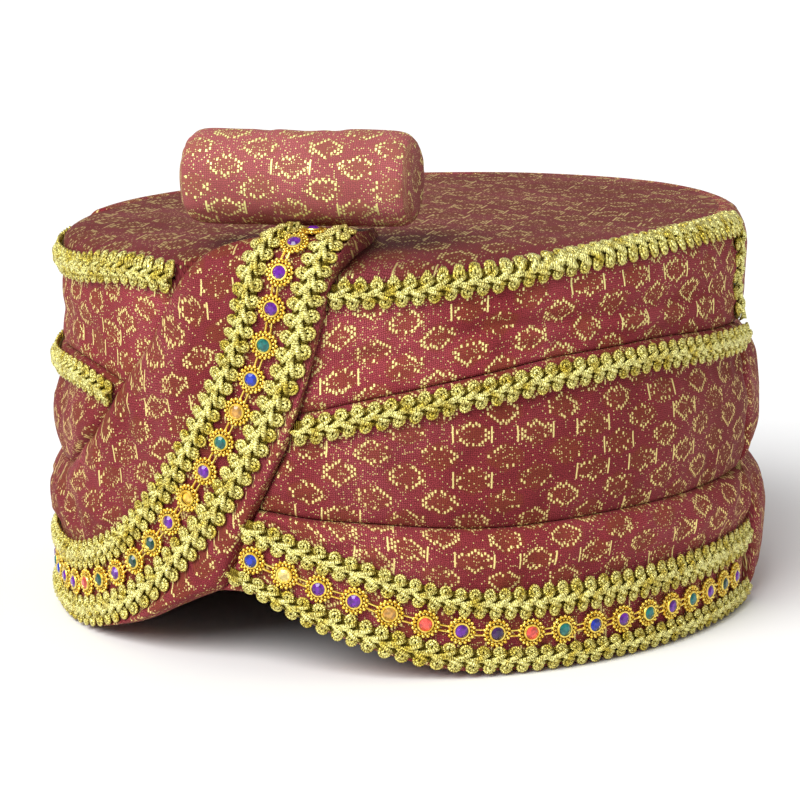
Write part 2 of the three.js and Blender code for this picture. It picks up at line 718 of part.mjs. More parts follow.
const hemTrimSteps = evenly(0, HEM_LENGTH - 0.6, HEM_STEPS);
const hemUpperBraid = trimBraid(hemTrimSteps, 1, (walked) => hemAt(walked).above, onHem);
const hemLowerBraid = trimBraid(hemTrimSteps, -1, (walked) => hemAt(walked).below, onHem);
addPiece('hem_upper_braid', clearOfBand(hemUpperBraid), BRAID_GOLD);
addPiece('hem_lower_braid', clearOfBand(hemLowerBraid), BRAID_GOLD);

// The strings of settings, each a stone in a beaded disc linked to the next one
function frameAt(onPath, walked) {
  const bed = TRIM_BED_OUT + GAP;
  const base = onPath(walked, 0, bed);
  const ahead = onPath(walked + 1, 0, bed).sub(base).normalize();
  const normal = onPath(walked, 0, bed + 1).sub(base).normalize();
  return { base, ahead, normal };
}

function basis(ahead, normal, position) {
  const side = new THREE.Vector3().crossVectors(normal, ahead).normalize();
  const forward = new THREE.Vector3().crossVectors(side, normal);
  return new THREE.Matrix4().makeBasis(forward, side, normal).setPosition(position);
}

function jewelString(onPath, walkedList) {
  const profile = SETTING.map(({ radius, height }) => new THREE.Vector2(radius, height));
  const setting = new THREE.LatheGeometry(profile, SETTING_SIDES).rotateX(Math.PI / 2);
  const frames = walkedList.map((walked) => frameAt(onPath, walked));
  const solids = frames.map(({ base, ahead, normal }) => (
    toSolid(setting.clone().applyMatrix4(basis(ahead, normal, base)))
  ));
  for (let k = 0; k + 1 < frames.length; k += 1) {
    const [from, to] = [frames[k], frames[k + 1]];
    const start = from.base.clone().addScaledVector(from.ahead, LINK.reach);
    const end = to.base.clone().addScaledVector(to.ahead, -LINK.reach);
    const normal = from.normal.clone().add(to.normal).normalize();
    const middle = start.clone().lerp(end, 0.5).addScaledVector(normal, LINK.height / 2 + LINK.raised);
    const box = new THREE.BoxGeometry(start.distanceTo(end), LINK.width, LINK.height);
    solids.push(toSolid(box.applyMatrix4(basis(end.sub(start).normalize(), normal, middle))));
  }
  return toGeometry(solids.reduce((whole, solid) => whole.add(solid)));
}

function stonePlaces(first, count) {
  return Array.from({ length: count }, (_, k) => first + k * STONE_PITCH);
}

const bandStones = 1 + Math.floor((BAND_LENGTH - BAND_LAST_MARGIN - BAND_FIRST_STONE) / STONE_PITCH);
addPiece('band_jewels', jewelString(onBand, stonePlaces(BAND_FIRST_STONE, bandStones)), SETTING_GOLD);
addPiece('hem_jewels', jewelString(onHem, stonePlaces(HEM_FIRST_STONE, HEM_STONES)), SETTING_GOLD);

export default turban;
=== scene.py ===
import math

import bpy
import numpy as np
from mathutils import Matrix, Vector, noise


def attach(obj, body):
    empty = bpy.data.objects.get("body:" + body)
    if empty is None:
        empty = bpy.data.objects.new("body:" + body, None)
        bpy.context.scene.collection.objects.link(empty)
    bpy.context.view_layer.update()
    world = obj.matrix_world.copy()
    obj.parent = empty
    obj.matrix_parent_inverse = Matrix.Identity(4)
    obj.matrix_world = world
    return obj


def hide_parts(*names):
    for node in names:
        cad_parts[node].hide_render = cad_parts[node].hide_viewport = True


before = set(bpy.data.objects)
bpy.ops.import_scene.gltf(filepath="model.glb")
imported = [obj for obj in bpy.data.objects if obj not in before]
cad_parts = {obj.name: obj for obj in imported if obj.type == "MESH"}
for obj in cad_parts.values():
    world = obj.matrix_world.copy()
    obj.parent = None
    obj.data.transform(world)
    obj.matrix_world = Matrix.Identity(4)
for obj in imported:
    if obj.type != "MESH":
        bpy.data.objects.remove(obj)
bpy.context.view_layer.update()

bpy.ops.object.select_all(action="DESELECT")

# Crown
# A stiff oval cap covered in maroon brocade, open below. Its cloth comes up from behind the rim's
# braid, rounds over the rim and is drawn flat across the top, a little higher on the right.
# Lengths in the tables here are in millimetres, and MM makes them metres.
MM = 0.001
HALF_LENGTH = 118.9
HALF_WIDTH = 106.0
HOLLOW_OUT = -19.5
CROWN_OUT = -17.0
WRAP_OUT = -16.6
UPPER_BED_OUT = -5.2
MIDDLE_BED_OUT = -3.8
TRIM_BED_OUT = -2.2
GAP = 0.4
TOP = 112.2
TOP_TILT = 0.01
TOP_THICKNESS = 3.0
RIM_DROP = 4.5
# The cloth is drawn tight from front to back over the top, which lengthens its pattern there
CROWN_STRETCH = 0.5
BRAID_WIDTH = 7.6
SEAM = 167.0

oval_turn = np.linspace(0, 2 * math.pi, 1441)
oval_steps = np.hypot(
    np.diff(HALF_WIDTH * np.sin(oval_turn)), np.diff(HALF_LENGTH * np.cos(oval_turn))
)
oval_along = np.concatenate([[0], np.cumsum(oval_steps)])
PERIMETER = oval_along[-1]


def turn_at(along):
    """The oval's own angle at a distance round it from the front, towards +X."""
    return np.interp(np.mod(along, PERIMETER), oval_along, oval_turn)


def place(along, up, out):
    """Points in metres from distances round the oval, up from the floor and out of the oval."""
    along, up, out = np.broadcast_arrays(along, up, out)
    turn = turn_at(along)
    x = (HALF_WIDTH + out) * np.sin(turn)
    y = -(HALF_LENGTH + out) * np.cos(turn)
    return np.stack([x, y, up], axis=-1) * MM


def chart_of(points):
    """The reverse of place: along, up and out of points in metres."""
    x, y, up = (np.asarray(points) / MM).T
    out = np.full(len(x), -10.0)
    for _ in range(8):
        across, lengthwise = x / (HALF_WIDTH + out), y / (HALF_LENGTH + out)
        excess = across**2 + lengthwise**2 - 1
        slope = across**2 / (HALF_WIDTH + out) + lengthwise**2 / (HALF_LENGTH + out)
        out = np.clip(out + excess / (2 * slope + 1e-9), -90, 30)
    turn = np.mod(np.arctan2(x / (HALF_WIDTH + out), -y / (HALF_LENGTH + out)), 2 * math.pi)
    along = np.interp(turn, oval_turn, oval_along)
    return np.where(along > PERIMETER / 2, along - PERIMETER, along), up, out


def table(columns, *rows):
    """A small table as a dictionary of its columns."""
    return dict(zip(columns.split(), np.array(rows, float).T))


def smooth(rows, by, name, at):
    """A table's column as a smooth curve through its rows."""
    places, values = rows[by], rows[name]
    slopes = np.diff(values) / np.diff(places)
    slopes = np.concatenate([slopes[:1], (slopes[1:] + slopes[:-1]) / 2, slopes[-1:]])
    at = np.clip(at, places[0], places[-1])
    k = np.clip(np.searchsorted(places, at, side="right") - 1, 0, len(places) - 2)
    width = places[k + 1] - places[k]
    t = (at - places[k]) / width
    start = values[k] * (1 + 2 * t) * (1 - t) ** 2 + slopes[k] * width * t * (1 - t) ** 2
    return start + values[k + 1] * t * t * (3 - 2 * t) - slopes[k + 1] * width * t * t * (1 - t)


# The heights round the front of both braided edges, of the plain fold's edge and of the hem, and
# how far inwards the top's rounding takes to become level
FOLDS = table(
    "along upper middle lower hem soft",
    (-168, 102.0, 72.0, 42.0, 0, 16),
    (-128, 102.0, 72.0, 42.0, 0, 17),
    (-94, 102.6, 73.0, 42.0, 0, 20),
    (-78, 104.0, 71.6, 42.4, 4.5, 23),
    (-62, 105.3, 68.3, 43.0, 8.5, 28),
    (-50, 104.8, 66.5, 43.6, 12.2, 36),
    (-38, 104.2, 65.6, 44.2, 17.4, 42),
    (-25, 103.6, 65.4, 44.6, 21.4, 44),
    (-12, 103.2, 66.0, 44.0, 20.4, 45),
    (0, 103.0, 67.1, 42.7, 14.2, 45),
    (14, 103.0, 70.2, 42.0, 8.9, 45),
    (28, 103.8, 72.9, 41.1, 4.4, 42),
    (41, 105.3, 75.3, 40.1, 1.4, 38),
    (55, 106.8, 77.5, 39.5, 0.3, 30),
    (70, 109.0, 79.6, 39.8, 0, 22),
    (87, 110.8, 80.6, 40.2, 0, 16),
    (106, 112.2, 81.1, 40.2, 0, 12),
    (131, 112.9, 80.1, 40.2, 0, 10),
    (168, 112.0, 78.3, 39.6, 0, 10),
)


def fold_row(name, along):
    return smooth(FOLDS, "along", name, along)


def top_at(along):
    return TOP + TOP_TILT * HALF_WIDTH * np.sin(turn_at(along))


def rim_at(along):
    """Where the cloth starts to round over the rim, how much it still rises, and how softly."""
    height = np.minimum(fold_row("upper", along) + BRAID_WIDTH / 2, top_at(along) - RIM_DROP)
    return height, top_at(along) - height, fold_row("soft", along)


def rounding(along, turn):
    """A point of the rounding, a quarter of an ellipse: its height, offset and lean."""
    height, rise, soft = rim_at(along)
    lean = np.arctan2(soft * np.sin(turn), rise * np.cos(turn))
    return height + rise * np.sin(turn), UPPER_BED_OUT - soft * (1 - np.cos(turn)), lean


def face_turn(along, reach):
    """How far round the rounding a distance up the cloth from the hem comes."""
    along, reach = np.broadcast_arrays(np.atleast_1d(along), reach)
    height, rise, soft = rim_at(along)
    turns = np.linspace(0, math.pi / 2, 50)
    middles = (turns[1:] + turns[:-1]) / 2
    steps = np.hypot(rise[..., None] * np.cos(middles), soft[..., None] * np.sin(middles))
    walked = np.cumsum(steps * (turns[1] - turns[0]), axis=-1)
    over = np.maximum(reach - height, 0)[..., None]
    passed = (walked < over).sum(axis=-1)
    before = np.take_along_axis(np.insert(walked, 0, 0, axis=-1), passed[..., None], -1)[..., 0]
    pace = np.take_along_axis(steps, np.minimum(passed, len(middles) - 1)[..., None], -1)[..., 0]
    return np.minimum(turns[passed] + (over[..., 0] - before) / pace, math.pi / 2)


def face(along, reach):
    """The cloth's height, offset and lean at a distance up the cloth from the hem."""
    height, _, _ = rim_at(along)
    up, out, lean = rounding(along, face_turn(along, reach))
    return np.where(reach < height, reach, up), out, np.where(reach < height, 0, lean)


def shelf(along):
    """The height at which the crown's brim and the upper fold meet the crown's wall."""
    height, rise, _ = rim_at(along)
    up, _, _ = face(along, fold_row("upper", along))
    return np.minimum(up - 0.8, height + rise - 5.5)


def lengths(points):
    """Distance walked along the second axis of an array of points."""
    steps = np.linalg.norm(np.diff(points, axis=1), axis=2)
    return np.concatenate([np.zeros((len(points), 1)), np.cumsum(steps, axis=1)], axis=1)


def filled_in(outlines, spacing):
    """Closed outlines, one per row, with points added so that none lie further apart."""
    ahead = np.roll(outlines, -1, axis=1)
    longest = np.linalg.norm(ahead - outlines, axis=2).max(axis=0)
    parts = []
    for k, length in enumerate(longest):
        count = max(1, round(length / spacing))
        for share in np.arange(count) / count:
            parts.append(outlines[:, k] * (1 - share) + ahead[:, k] * share)
    return np.stack(parts, axis=1)


def new_piece(name, corners, faces):
    mesh = bpy.data.meshes.new(name)
    mesh.from_pydata(corners.tolist(), [], faces)
    piece = bpy.data.objects.new(name, mesh)
    bpy.context.collection.objects.link(piece)
    return piece


def note(piece, name, kind, field, values):
    """Keeps a value for each of a piece's corners, which its material reads by this name."""
    kept = piece.data.attributes.new(name, kind, "POINT")
    kept.data.foreach_set(field, np.ravel(values))


def work_on(piece):
    """Makes this piece the one that the next operators act on."""
    bpy.ops.object.select_all(action="DESELECT")
    piece.select_set(True)
    bpy.context.view_layer.objects.active = piece


def face_outwards(piece):
    work_on(piece)
    bpy.ops.object.mode_set(mode="EDIT")
    bpy.ops.mesh.select_all(action="SELECT")
    bpy.ops.mesh.normals_make_consistent(inside=False)
    bpy.ops.object.mode_set(mode="OBJECT")


def cloth_body(name, points, weave, wrap=False, poles=None):
    """A piece of cloth from rows of points, closed round each row. weave is each point's place
    on the flat cloth, in metres, and poles close the rows' first and last columns."""
    rows, size = points.shape[:2]
    corners = points.reshape(-1, 3)
    flat = weave.reshape(-1, 2)
    faces = []
    for row in range(rows if wrap else rows - 1):
        after = (row + 1) % rows
        for k in range(size - 1 if poles is not None else size):
            nxt = (k + 1) % size
            faces.append((row * size + k, row * size + nxt, after * size + nxt, after * size + k))
    if poles is not None:
        corners = np.vstack([corners, poles])
        flat = np.vstack([flat, np.zeros((2, 2))])
        for row in range(rows):
            after = (row + 1) % rows
            faces.append((rows * size, row * size, after * size))
            faces.append((rows * size + 1, after * size + size - 1, row * size + size - 1))
    elif not wrap:
        faces.append(tuple(range(size))[::-1])
        faces.append(tuple(range((rows - 1) * size, rows * size)))
    piece = new_piece(name, corners, faces)
    note(piece, "weave", "FLOAT_VECTOR", "vector", np.insert(flat, 2, 0, axis=1))
    face_outwards(piece)
    return piece


def corners_of(piece):
    found = np.empty(len(piece.data.vertices) * 3)
    piece.data.vertices.foreach_get("co", found)
    return found.reshape(-1, 3)


def move_corners(piece, points):
    piece.data.vertices.foreach_set("co", np.asarray(points).ravel())
    piece.data.update()


def rounded(piece):
    """Rounds a piece's shape with one level of applied subdivision."""
    work_on(piece)
    modifier = piece.modifiers.new("rounding", "SUBSURF")
    modifier.levels = 1
    modifier.render_levels = 1
    bpy.ops.object.modifier_apply(modifier=modifier.name)
    bpy.ops.object.shade_smooth()


class Wire:
    """An output of a material's nodes. Python's operators on it add Math nodes."""

    def __init__(self, tree, socket=None):
        self.tree = tree
        self.socket = socket

    def node(self, kind, settings=None, inputs=None, output=0):
        """Adds a node, with its settings set first, and gives the wire from its output."""
        made = self.tree.nodes.new("ShaderNode" + kind)
        for name, value in (settings or {}).items():
            setattr(made, name, value)
        for name, value in (inputs or {}).items():
            if isinstance(value, Wire):
                self.tree.links.new(value.socket, made.inputs[name])
            else:
                made.inputs[name].default_value = value
        return Wire(self.tree, made.outputs[output]) if made.outputs else None

    def maths(self, operation, *values):
        return self.node("Math", {"operation": operation}, dict(enumerate([self, *values])))

    def reversed_maths(self, operation, value):
        return self.node("Math", {"operation": operation}, {0: value, 1: self})

    def __add__(self, other):
        return self.maths("ADD", other)

    def __sub__(self, other):
        return self.maths("SUBTRACT", other)

    def __mul__(self, other):
        return self.maths("MULTIPLY", other)

    def __truediv__(self, other):
        return self.maths("DIVIDE", other)

    def __mod__(self, other):
        return self.maths("FLOORED_MODULO", other)

    def __lt__(self, other):
        return self.maths("LESS_THAN", other)

    def __gt__(self, other):
        return self.maths("GREATER_THAN", other)

    def __abs__(self):
        return self.maths("ABSOLUTE")

    def __rsub__(self, other):
        return self.reversed_maths("SUBTRACT", other)

    __radd__ = __add__
    __rmul__ = __mul__

    def floor(self):
        return self.maths("FLOOR")

    def larger(self, other):
        return self.maths("MAXIMUM", other)

    def smaller(self, other):
        return self.maths("MINIMUM", other)

    def between(self, low, high):
        """0 at low, 1 at high, and a soft step between them."""
        settings = {"interpolation_type": "SMOOTHSTEP"}
        return self.node("MapRange", settings, {"Value": self, "From Min": low, "From Max": high})

    def blend(self, first, second):
        """A mix of two colours, with this wire as its factor."""
        colours = {"Factor": self, 6: first, 7: second}
        return self.node("Mix", {"data_type": "RGBA"}, colours, output=2)

    def spots(self, scale, detail=2.0, dimensions="3D"):
        """Soft, irregular noise at this wire's places."""
        inputs = {"Vector": self, "Scale": scale, "Detail": detail}
        return self.node("TexNoise", {"noise_dimensions": dimensions}, inputs)

    def bump(self, strength, distance):
        """The normals of a surface with this wire as its relief."""
        return self.node("Bump", {}, {"Height": self, "Strength": strength, "Distance": distance})


def new_material(name):
    """An empty material's wire, and a function that finishes it with one principled shader."""
    material = bpy.data.materials.new(name)
    material.use_nodes = True
    tree = material.node_tree
    tree.nodes.clear()

    def finish(inputs):
        wire = Wire(tree)
        shader = wire.node("BsdfPrincipled", {}, inputs)
        wire.node("OutputMaterial", {}, {"Surface": shader})
        return material

    return Wire(tree), finish


# The brocade: a fine net over a maroon ground, with motifs of short gold dashes set in rings
# between upright bars, and glitter that gathers about the motifs
GROUND = (0.305, 0.039, 0.050)
GROUND_DARK = (0.085, 0.010, 0.012)
GROUND_PINK = (0.46, 0.100, 0.122)
THREAD_GOLD = (1.0, 0.83, 0.32)
THREAD_DULL = (0.21, 0.058, 0.016)
# A pale pink painted sheen, which the roll's copy of the brocade blends over its ground as painted
# light
SHINE = (0.66, 0.42, 0.34)
DASH_WIDTH = 0.86
DASH_HEIGHT = 1.25
MOTIF_ACROSS = 18.0
MOTIF_UP = 12.0
# Long hexagons: half their width, where their slanted sides would meet, and half their height
RING_SIZE = (4.7, 7.5, 3.4)
HALO_SIZE = (4.9, 8.0, 3.7)
BAR_SIDE = 5.3
BAR_HALF_HEIGHT = 2.2
BAR_CHANCE = 0.3


def brocade(name, tone, bloom=0.0):
    """The brocade's material, with every colour made lighter or darker by tone, which paints light and
    shade into a copy of it, and bloom as the share of a pale pink painted sheen that lies over the
    ground."""
    ground_red, ground_dark, ground_pink, thread_dull = (
        (*(part * tone * (1 - bloom) + shine * bloom for part, shine in zip(colour, SHINE)), 1)
        for colour in (GROUND, GROUND_DARK, GROUND_PINK, THREAD_DULL)
    )
    thread_gold = (*(min(1, part * tone) for part in THREAD_GOLD), 1)
    wire, finish = new_material(name)
    cloth = wire.node("Attribute", {"attribute_name": "weave"}, output=1)
    flat = wire.node("VectorMath", {"operation": "SCALE"}, {0: cloth, "Scale": 1 / MM})
    u = wire.node("SeparateXYZ", {}, {0: flat}, output=0)
    v = wire.node("SeparateXYZ", {}, {0: flat}, output=1)
    place_on = wire.node("TexCoord", output=3)

    column = (u / DASH_WIDTH).floor()
    shifted = v + (column % 2) * (DASH_HEIGHT / 2)
    row = (shifted / DASH_HEIGHT).floor()
    dash_u = (column + 0.5) * DASH_WIDTH
    dash_v = (row + 0.5) * DASH_HEIGHT - (column % 2) * (DASH_HEIGHT / 2)
    cell = wire.node("CombineXYZ", {}, {0: column, 1: row})
    chance = wire.node("TexWhiteNoise", {"noise_dimensions": "2D"}, {"Vector": cell})
    across = abs(u - dash_u)
    upwards = abs(v - dash_v)
    dash = across.between(0.35, 0.20) * upwards.between(0.49, 0.32)

    def motif(shift_u, shift_v, at_u, at_v):
        """Distances from the middle of the nearest motif of one of the two staggered sets."""
        side = abs((at_u + (shift_u + MOTIF_ACROSS / 2)) % MOTIF_ACROSS - MOTIF_ACROSS / 2)
        high = abs((at_v + (shift_v + MOTIF_UP / 2)) % MOTIF_UP - MOTIF_UP / 2)
        return side, high

    def hexagon(side, high, half_width, point, half_height):
        """0 in the middle of a long hexagon and 1 at its outline."""
        return (side / half_width).larger(side / point + high / half_height)

    rings, halos, bars = [], [], []
    for shift_u, shift_v in ((0, 0), (MOTIF_ACROSS / 2, MOTIF_UP / 2)):
        reach = hexagon(*motif(shift_u, shift_v, dash_u, dash_v), *RING_SIZE)
        rings.append((reach > 0.68) * (reach < 1.04))
        side, high = motif(shift_u, shift_v, u, v)
        halos.append(hexagon(side, high, *HALO_SIZE).between(1.25, 0.85))
        motif_column = ((u + (shift_u + MOTIF_ACROSS / 2)) / MOTIF_ACROSS).floor()
        motif_row = ((v + (shift_v + MOTIF_UP / 2)) / MOTIF_UP).floor()
        which = wire.node("CombineXYZ", {}, {0: motif_column, 1: motif_row, 2: 1.0 + shift_u})
        luck = wire.node("TexWhiteNoise", {"noise_dimensions": "3D"}, {"Vector": which})
        upright = abs(side - BAR_SIDE).between(0.30, 0.18)
        bars.append(upright * (high < BAR_HALF_HEIGHT) * (luck > 1 - BAR_CHANCE))
    ring, halo, bar = (first.larger(second) for first, second in (rings, halos, bars))

    drift = place_on.spots(28.0, 3.0)
    fleck_map = {"voronoi_dimensions": "2D"}
    fleck_inputs = {"Vector": flat, "Scale": 1.5, "Randomness": 0.95}
    fleck_far = wire.node("TexVoronoi", fleck_map, fleck_inputs, output=0)
    fleck_tone = wire.node("TexVoronoi", fleck_map, fleck_inputs, output=1)
    fleck_luck = wire.node("SeparateColor", {}, {0: fleck_tone}, output=0)
    fleck_gloss = wire.node("SeparateColor", {}, {0: fleck_tone}, output=1)
    wanted = halo * 0.12 + drift.between(0.42, 0.66) * 0.15 + 0.13
    fleck = fleck_far.between(0.34, 0.20) * (fleck_luck < wanted)

    worn = flat.spots(0.045, dimensions="2D")
    threads = (dash * ring * (chance > worn.between(0.44, 0.62) * 0.55 + 0.20)).larger(bar)
    gold = threads.larger(fleck * (fleck_gloss * 0.6 + 0.4))

    net_inputs = {"Vector": flat, "Scale": 1.75, "Randomness": 0.55}
    net_settings = {"voronoi_dimensions": "2D", "feature": "DISTANCE_TO_EDGE"}
    net = wire.node("TexVoronoi", net_settings, net_inputs).between(0.02, 0.22)
    grain = flat.spots(2.6, dimensions="2D")

    shade = drift.between(0.36, 0.68)
    ground = (net * 0.55 + grain.between(0.35, 0.65) * 0.45).blend(ground_dark, ground_red)
    ground = (shade * net * 0.55).blend(ground, ground_pink)
    ground = (halo * 0.55 * grain.between(0.25, 0.60)).blend(ground, thread_dull)
    colour = gold.blend(ground, thread_gold)

    relief = gold + net * 0.45 + grain * 0.25
    return finish({
        "Base Color": colour,
        "Metallic": gold * 0.5,
        "Roughness": 0.68 - gold * 0.30,
        "Normal": relief.bump(0.55, 0.0003),
        "Sheen Weight": 0.06,
        "Sheen Roughness": 0.38,
        "Sheen Tint": (1.0, 0.60, 0.32, 1),
        "Specular IOR Level": 0.12,
        "Specular Tint": (1.0, 0.55, 0.38, 1),
    })


BROCADE = brocade("brocade", 1.0)
# The crown's cloth wears a darker copy of the brocade: painted shade for the grazing light across its
# top
BROCADE_TOP_PAINTED_SHADE = brocade("brocade_top_painted_shade", 0.66)
BROCADE_ROLL_PAINTED_LIGHT = brocade("brocade_roll_painted_light", 1.16, 0.11)
# Lighter and darker copies of the same brocade: painted light on the upper fold, painted shade on the
# middle fold and the band
BROCADE_PAINTED_LIT = brocade("brocade_painted_lit", 1.07)
BROCADE_PAINTED_SHADE = brocade("brocade_painted_shade", 0.87)


def sew_on(piece, node):
    """Gives a piece its place in the frame, where nothing moves."""
    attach(piece, "root")
    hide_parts(node)


def dressed_cloth(piece, node, material=BROCADE):
    """Gives a padded piece its brocade and its place in the frame."""
    piece.data.materials.append(material)
    sew_on(piece, node)


def crown():
    along = np.linspace(0, PERIMETER, 150, endpoint=False)
    sideways = np.mod(along + PERIMETER / 2, PERIMETER) - PERIMETER / 2
    near = np.clip(sideways, -SEAM, SEAM)
    height, rise, _ = rim_at(near)
    lift = top_at(along) - height - rise
    edge_turn = face_turn(near, fold_row("upper", near) + 2 * GAP)
    edge_up, edge_out, _ = face(near, fold_row("upper", near) + 2 * GAP)
    hem = np.maximum(fold_row("hem", near), 0) + 1.5
    top = top_at(along)
    profile = [
        (top - TOP_THICKNESS, HOLLOW_OUT - 4),
        (top - TOP_THICKNESS - 4, HOLLOW_OUT),
        *[(hem + (top - TOP_THICKNESS - 4 - hem) * s, HOLLOW_OUT) for s in (0.75, 0.5, 0.25, 0.02)],
        (hem, HOLLOW_OUT + 0.3),
        (hem, CROWN_OUT - 0.3),
        *[(hem + (shelf(near) + lift - hem) * s, CROWN_OUT) for s in (0.02, 0.3, 0.65, 0.97)],
        (shelf(near) + lift, CROWN_OUT + 0.6),
        (edge_up + lift - 0.8, edge_out - 1.0),
        (edge_up + lift, edge_out),
    ]
    for share in (0.08, 0.2, 0.34, 0.5, 0.68, 0.84, 1):
        up, out, _ = rounding(near, edge_turn + (math.pi / 2 - edge_turn) * share)
        profile.append((up + lift, out))
    sections = np.stack([place(along, up, out) for up, out in profile], axis=1)
    inner = (0, 0, (TOP - TOP_THICKNESS) * MM)
    outer = (0, 0, (TOP + 0.8) * MM)
    shrink = np.array([0.12, 0.3, 0.5, 0.7, 0.87])[None, :, None]
    ceiling = inner + (sections[:, :1] - inner) * shrink
    lid = outer + (sections[:, -1:] - outer) * shrink[:, ::-1]
    points = np.concatenate([ceiling, sections, lid], axis=1)
    reach = lengths(np.concatenate([points, np.tile(outer, (len(points), 1, 1))], axis=1))
    from_middle = (reach[:, -1:] - reach)[:, :-1]
    wall = points[:, -len(profile), :2]
    ahead = wall / np.linalg.norm(wall, axis=1)[:, None]
    drawn_out = np.array([1.0, CROWN_STRETCH])
    weave = ahead[:, None, :] * from_middle[:, :, None] * drawn_out
    return cloth_body("crown_cloth", points, weave, wrap=True, poles=np.array([inner, outer]))


# The band's route, which every piece under it needs as well: along and up give its row of stones
BAND = table(
    "along up margin right strip lip middle",
    (2, 160, 14, 13.2, 0.6, 0.8, 0.95),
    (1, 138, 16, 13.4, 0.6, 0.55, 0.75),
    (-1, 128, 17, 13.4, 0.6, 0.5, 0.7),
    (-4, 118, 18, 13.4, 0.6, 0.5, 0.75),
    (-7, 107, 20, 13.2, 0.6, 0.7, 0.9),
    (-11.2, 88.8, 22.5, 12.6, 1, 0.8, 1.1),
    (-19.4, 70.8, 24, 12.6, 3.6, 0.85, 1.15),
    (-30.2, 53.5, 27, 12.6, 5.6, 0.95, 1.15),
    (-36.6, 45.2, 28, 12.6, 8, 1, 1.15),
    (-41.8, 39.5, 28.6, 12.6, 11.4, 1.05, 1.15),
    (-46.5, 34.8, 28.7, 12.6, 9, 1.1, 1.2),
    (-52.5, 29.3, 28.6, 12.6, 5.6, 1.15, 1.2),
    (-61.5, 22.9, 28, 12.6, 3, 1.3, 1.25),
    (-75, 17, 27, 12.6, 0.9, 1.5, 1.35),
    (-85, 13.9, 25, 12.2, 0.4, 1.6, 1.45),
    (-95, 12, 23, 11.3, 0.4, 1.6, 1.6),
    (-107, 11.5, 21, 10.9, 0.4, 1.55, 1.7),
    (-171, 11.5, 20.6, 10.9, 0.4, 1.5, 1.7),
)
BAND_OVER = table(
    "up height out",
    (0, 0, 0),
    (96, 96, 0),
    (104, 104, -0.1),
    (111, 110.8, -1.2),
    (116, 115, -3.8),
    (121, 118, -8),
    (127, 119.1, -14),
    (137, 119, -24),
    (147, 118.6, -34),
    (154, 117.6, -41),
    (161, 116, -48),
)
BAND_UNDER = table(
    "up height out",
    (0, 0, -5.6),
    (96, 96, -5.6),
    (104, 102.8, -6.2),
    (110, 106.2, -9),
    (116, 109, -13),
    (122, 110.9, -18),
    (132, 111.9, -27),
    (147, 112.6, -40),
    (161, 112.9, -52),
)
BAND_LEFT = 11.8


def with_distance(rows):
    """The same table with the distance walked from its first row as a further column."""
    steps = np.hypot(np.diff(rows["along"]), np.diff(rows["up"]))
    return {**rows, "walked": np.concatenate([[0], np.cumsum(steps)])}


BAND = with_distance(BAND)
BAND_LENGTH = BAND["walked"][-1] - (-BAND["along"][-1] - SEAM)
# Past these, a place lies on the crown's top instead of its wall
RIM_UP = 100
RIM_OUT = -6.5


def beside(rows, walked, side, towards):
    """A place beside a trim's row of stones. towards is 1 where a positive side lies to the
    left of the way along it, and -1 where it lies to the right."""
    ahead, behind = np.minimum(walked + 0.5, rows["walked"][-1]), np.maximum(walked - 0.5, 0)
    run = smooth(rows, "walked", "along", ahead) - smooth(rows, "walked", "along", behind)
    climb = smooth(rows, "walked", "up", ahead) - smooth(rows, "walked", "up", behind)
    far = np.hypot(run, climb)
    along = smooth(rows, "walked", "along", walked) - towards * side * climb / far
    up = smooth(rows, "walked", "up", walked) + towards * side * run / far
    return along, up


def band_face(up, lift):
    """Height and offset at a lift off the band's trim, followed over the rim."""
    above, below = up + 0.5, np.maximum(up - 0.5, 0)
    climb = smooth(BAND_OVER, "up", "height", above) - smooth(BAND_OVER, "up", "height", below)
    inwards = smooth(BAND_OVER, "up", "out", above) - smooth(BAND_OVER, "up", "out", below)
    slope = np.hypot(climb, inwards)
    height = smooth(BAND_OVER, "up", "height", up) - lift * inwards / slope
    return height, smooth(BAND_OVER, "up", "out", up) + lift * climb / slope


def on_band(walked, side, lift):
    along, up = beside(BAND, walked, side, -1)
    height, out = band_face(up, lift)
    return place(along, height, out)


def band_place(along, up):
    """Distance along the band and to its side, positive to the left, of places on the wall."""
    walked = np.arange(0, BAND["walked"][-1], 1.5)
    path_along, path_up = beside(BAND, walked, 0.0, -1)
    near = np.hypot(along[:, None] - path_along, up[:, None] - path_up)
    k = np.clip(near.argmin(axis=1), 0, len(walked) - 2)
    run, climb = path_along[k + 1] - path_along[k], path_up[k + 1] - path_up[k]
    side = (climb * (along - path_along[k]) - run * (up - path_up[k])) / np.hypot(run, climb)
    return walked[k], side


def band_edges(walked):
    """How far the band's cloth reaches to the left and to the right of its stones."""
    margin, right, strip = (
        smooth(BAND, "walked", name, walked) for name in ("margin", "right", "strip")
    )
    return BAND_LEFT + margin, right + strip


def tuck_under_band(piece):
    """Keeps a piece's cloth below the band's under face, wherever the band lies over it."""
    before = corners_of(piece)
    along, up, out = chart_of(before)
    on_top = up > RIM_UP
    reach = np.interp(-out, -BAND_UNDER["out"], BAND_UNDER["up"])
    walked, side = band_place(along, np.where(on_top & (out < RIM_OUT), reach, up))
    left, right = band_edges(walked)
    covered = np.clip(np.minimum(left - side, right + side) / 2 + 0.5, 0, 1)
    limit = np.interp(up, BAND_UNDER["height"], BAND_UNDER["out"]) - GAP
    roof = np.interp(-out, -BAND_UNDER["out"][1:], BAND_UNDER["height"][1:]) - GAP
    out = np.where(on_top, out, out - covered * np.maximum(out - limit, 0))
    up = np.where(on_top, up - covered * np.maximum(up - roof, 0), up)
    beneath = out > BAND_UNDER["out"][-1]
    move_corners(piece, np.where(beneath[:, None], place(along, up, out), before))


crown_cloth = crown()
rounded(crown_cloth)
tuck_under_band(crown_cloth)
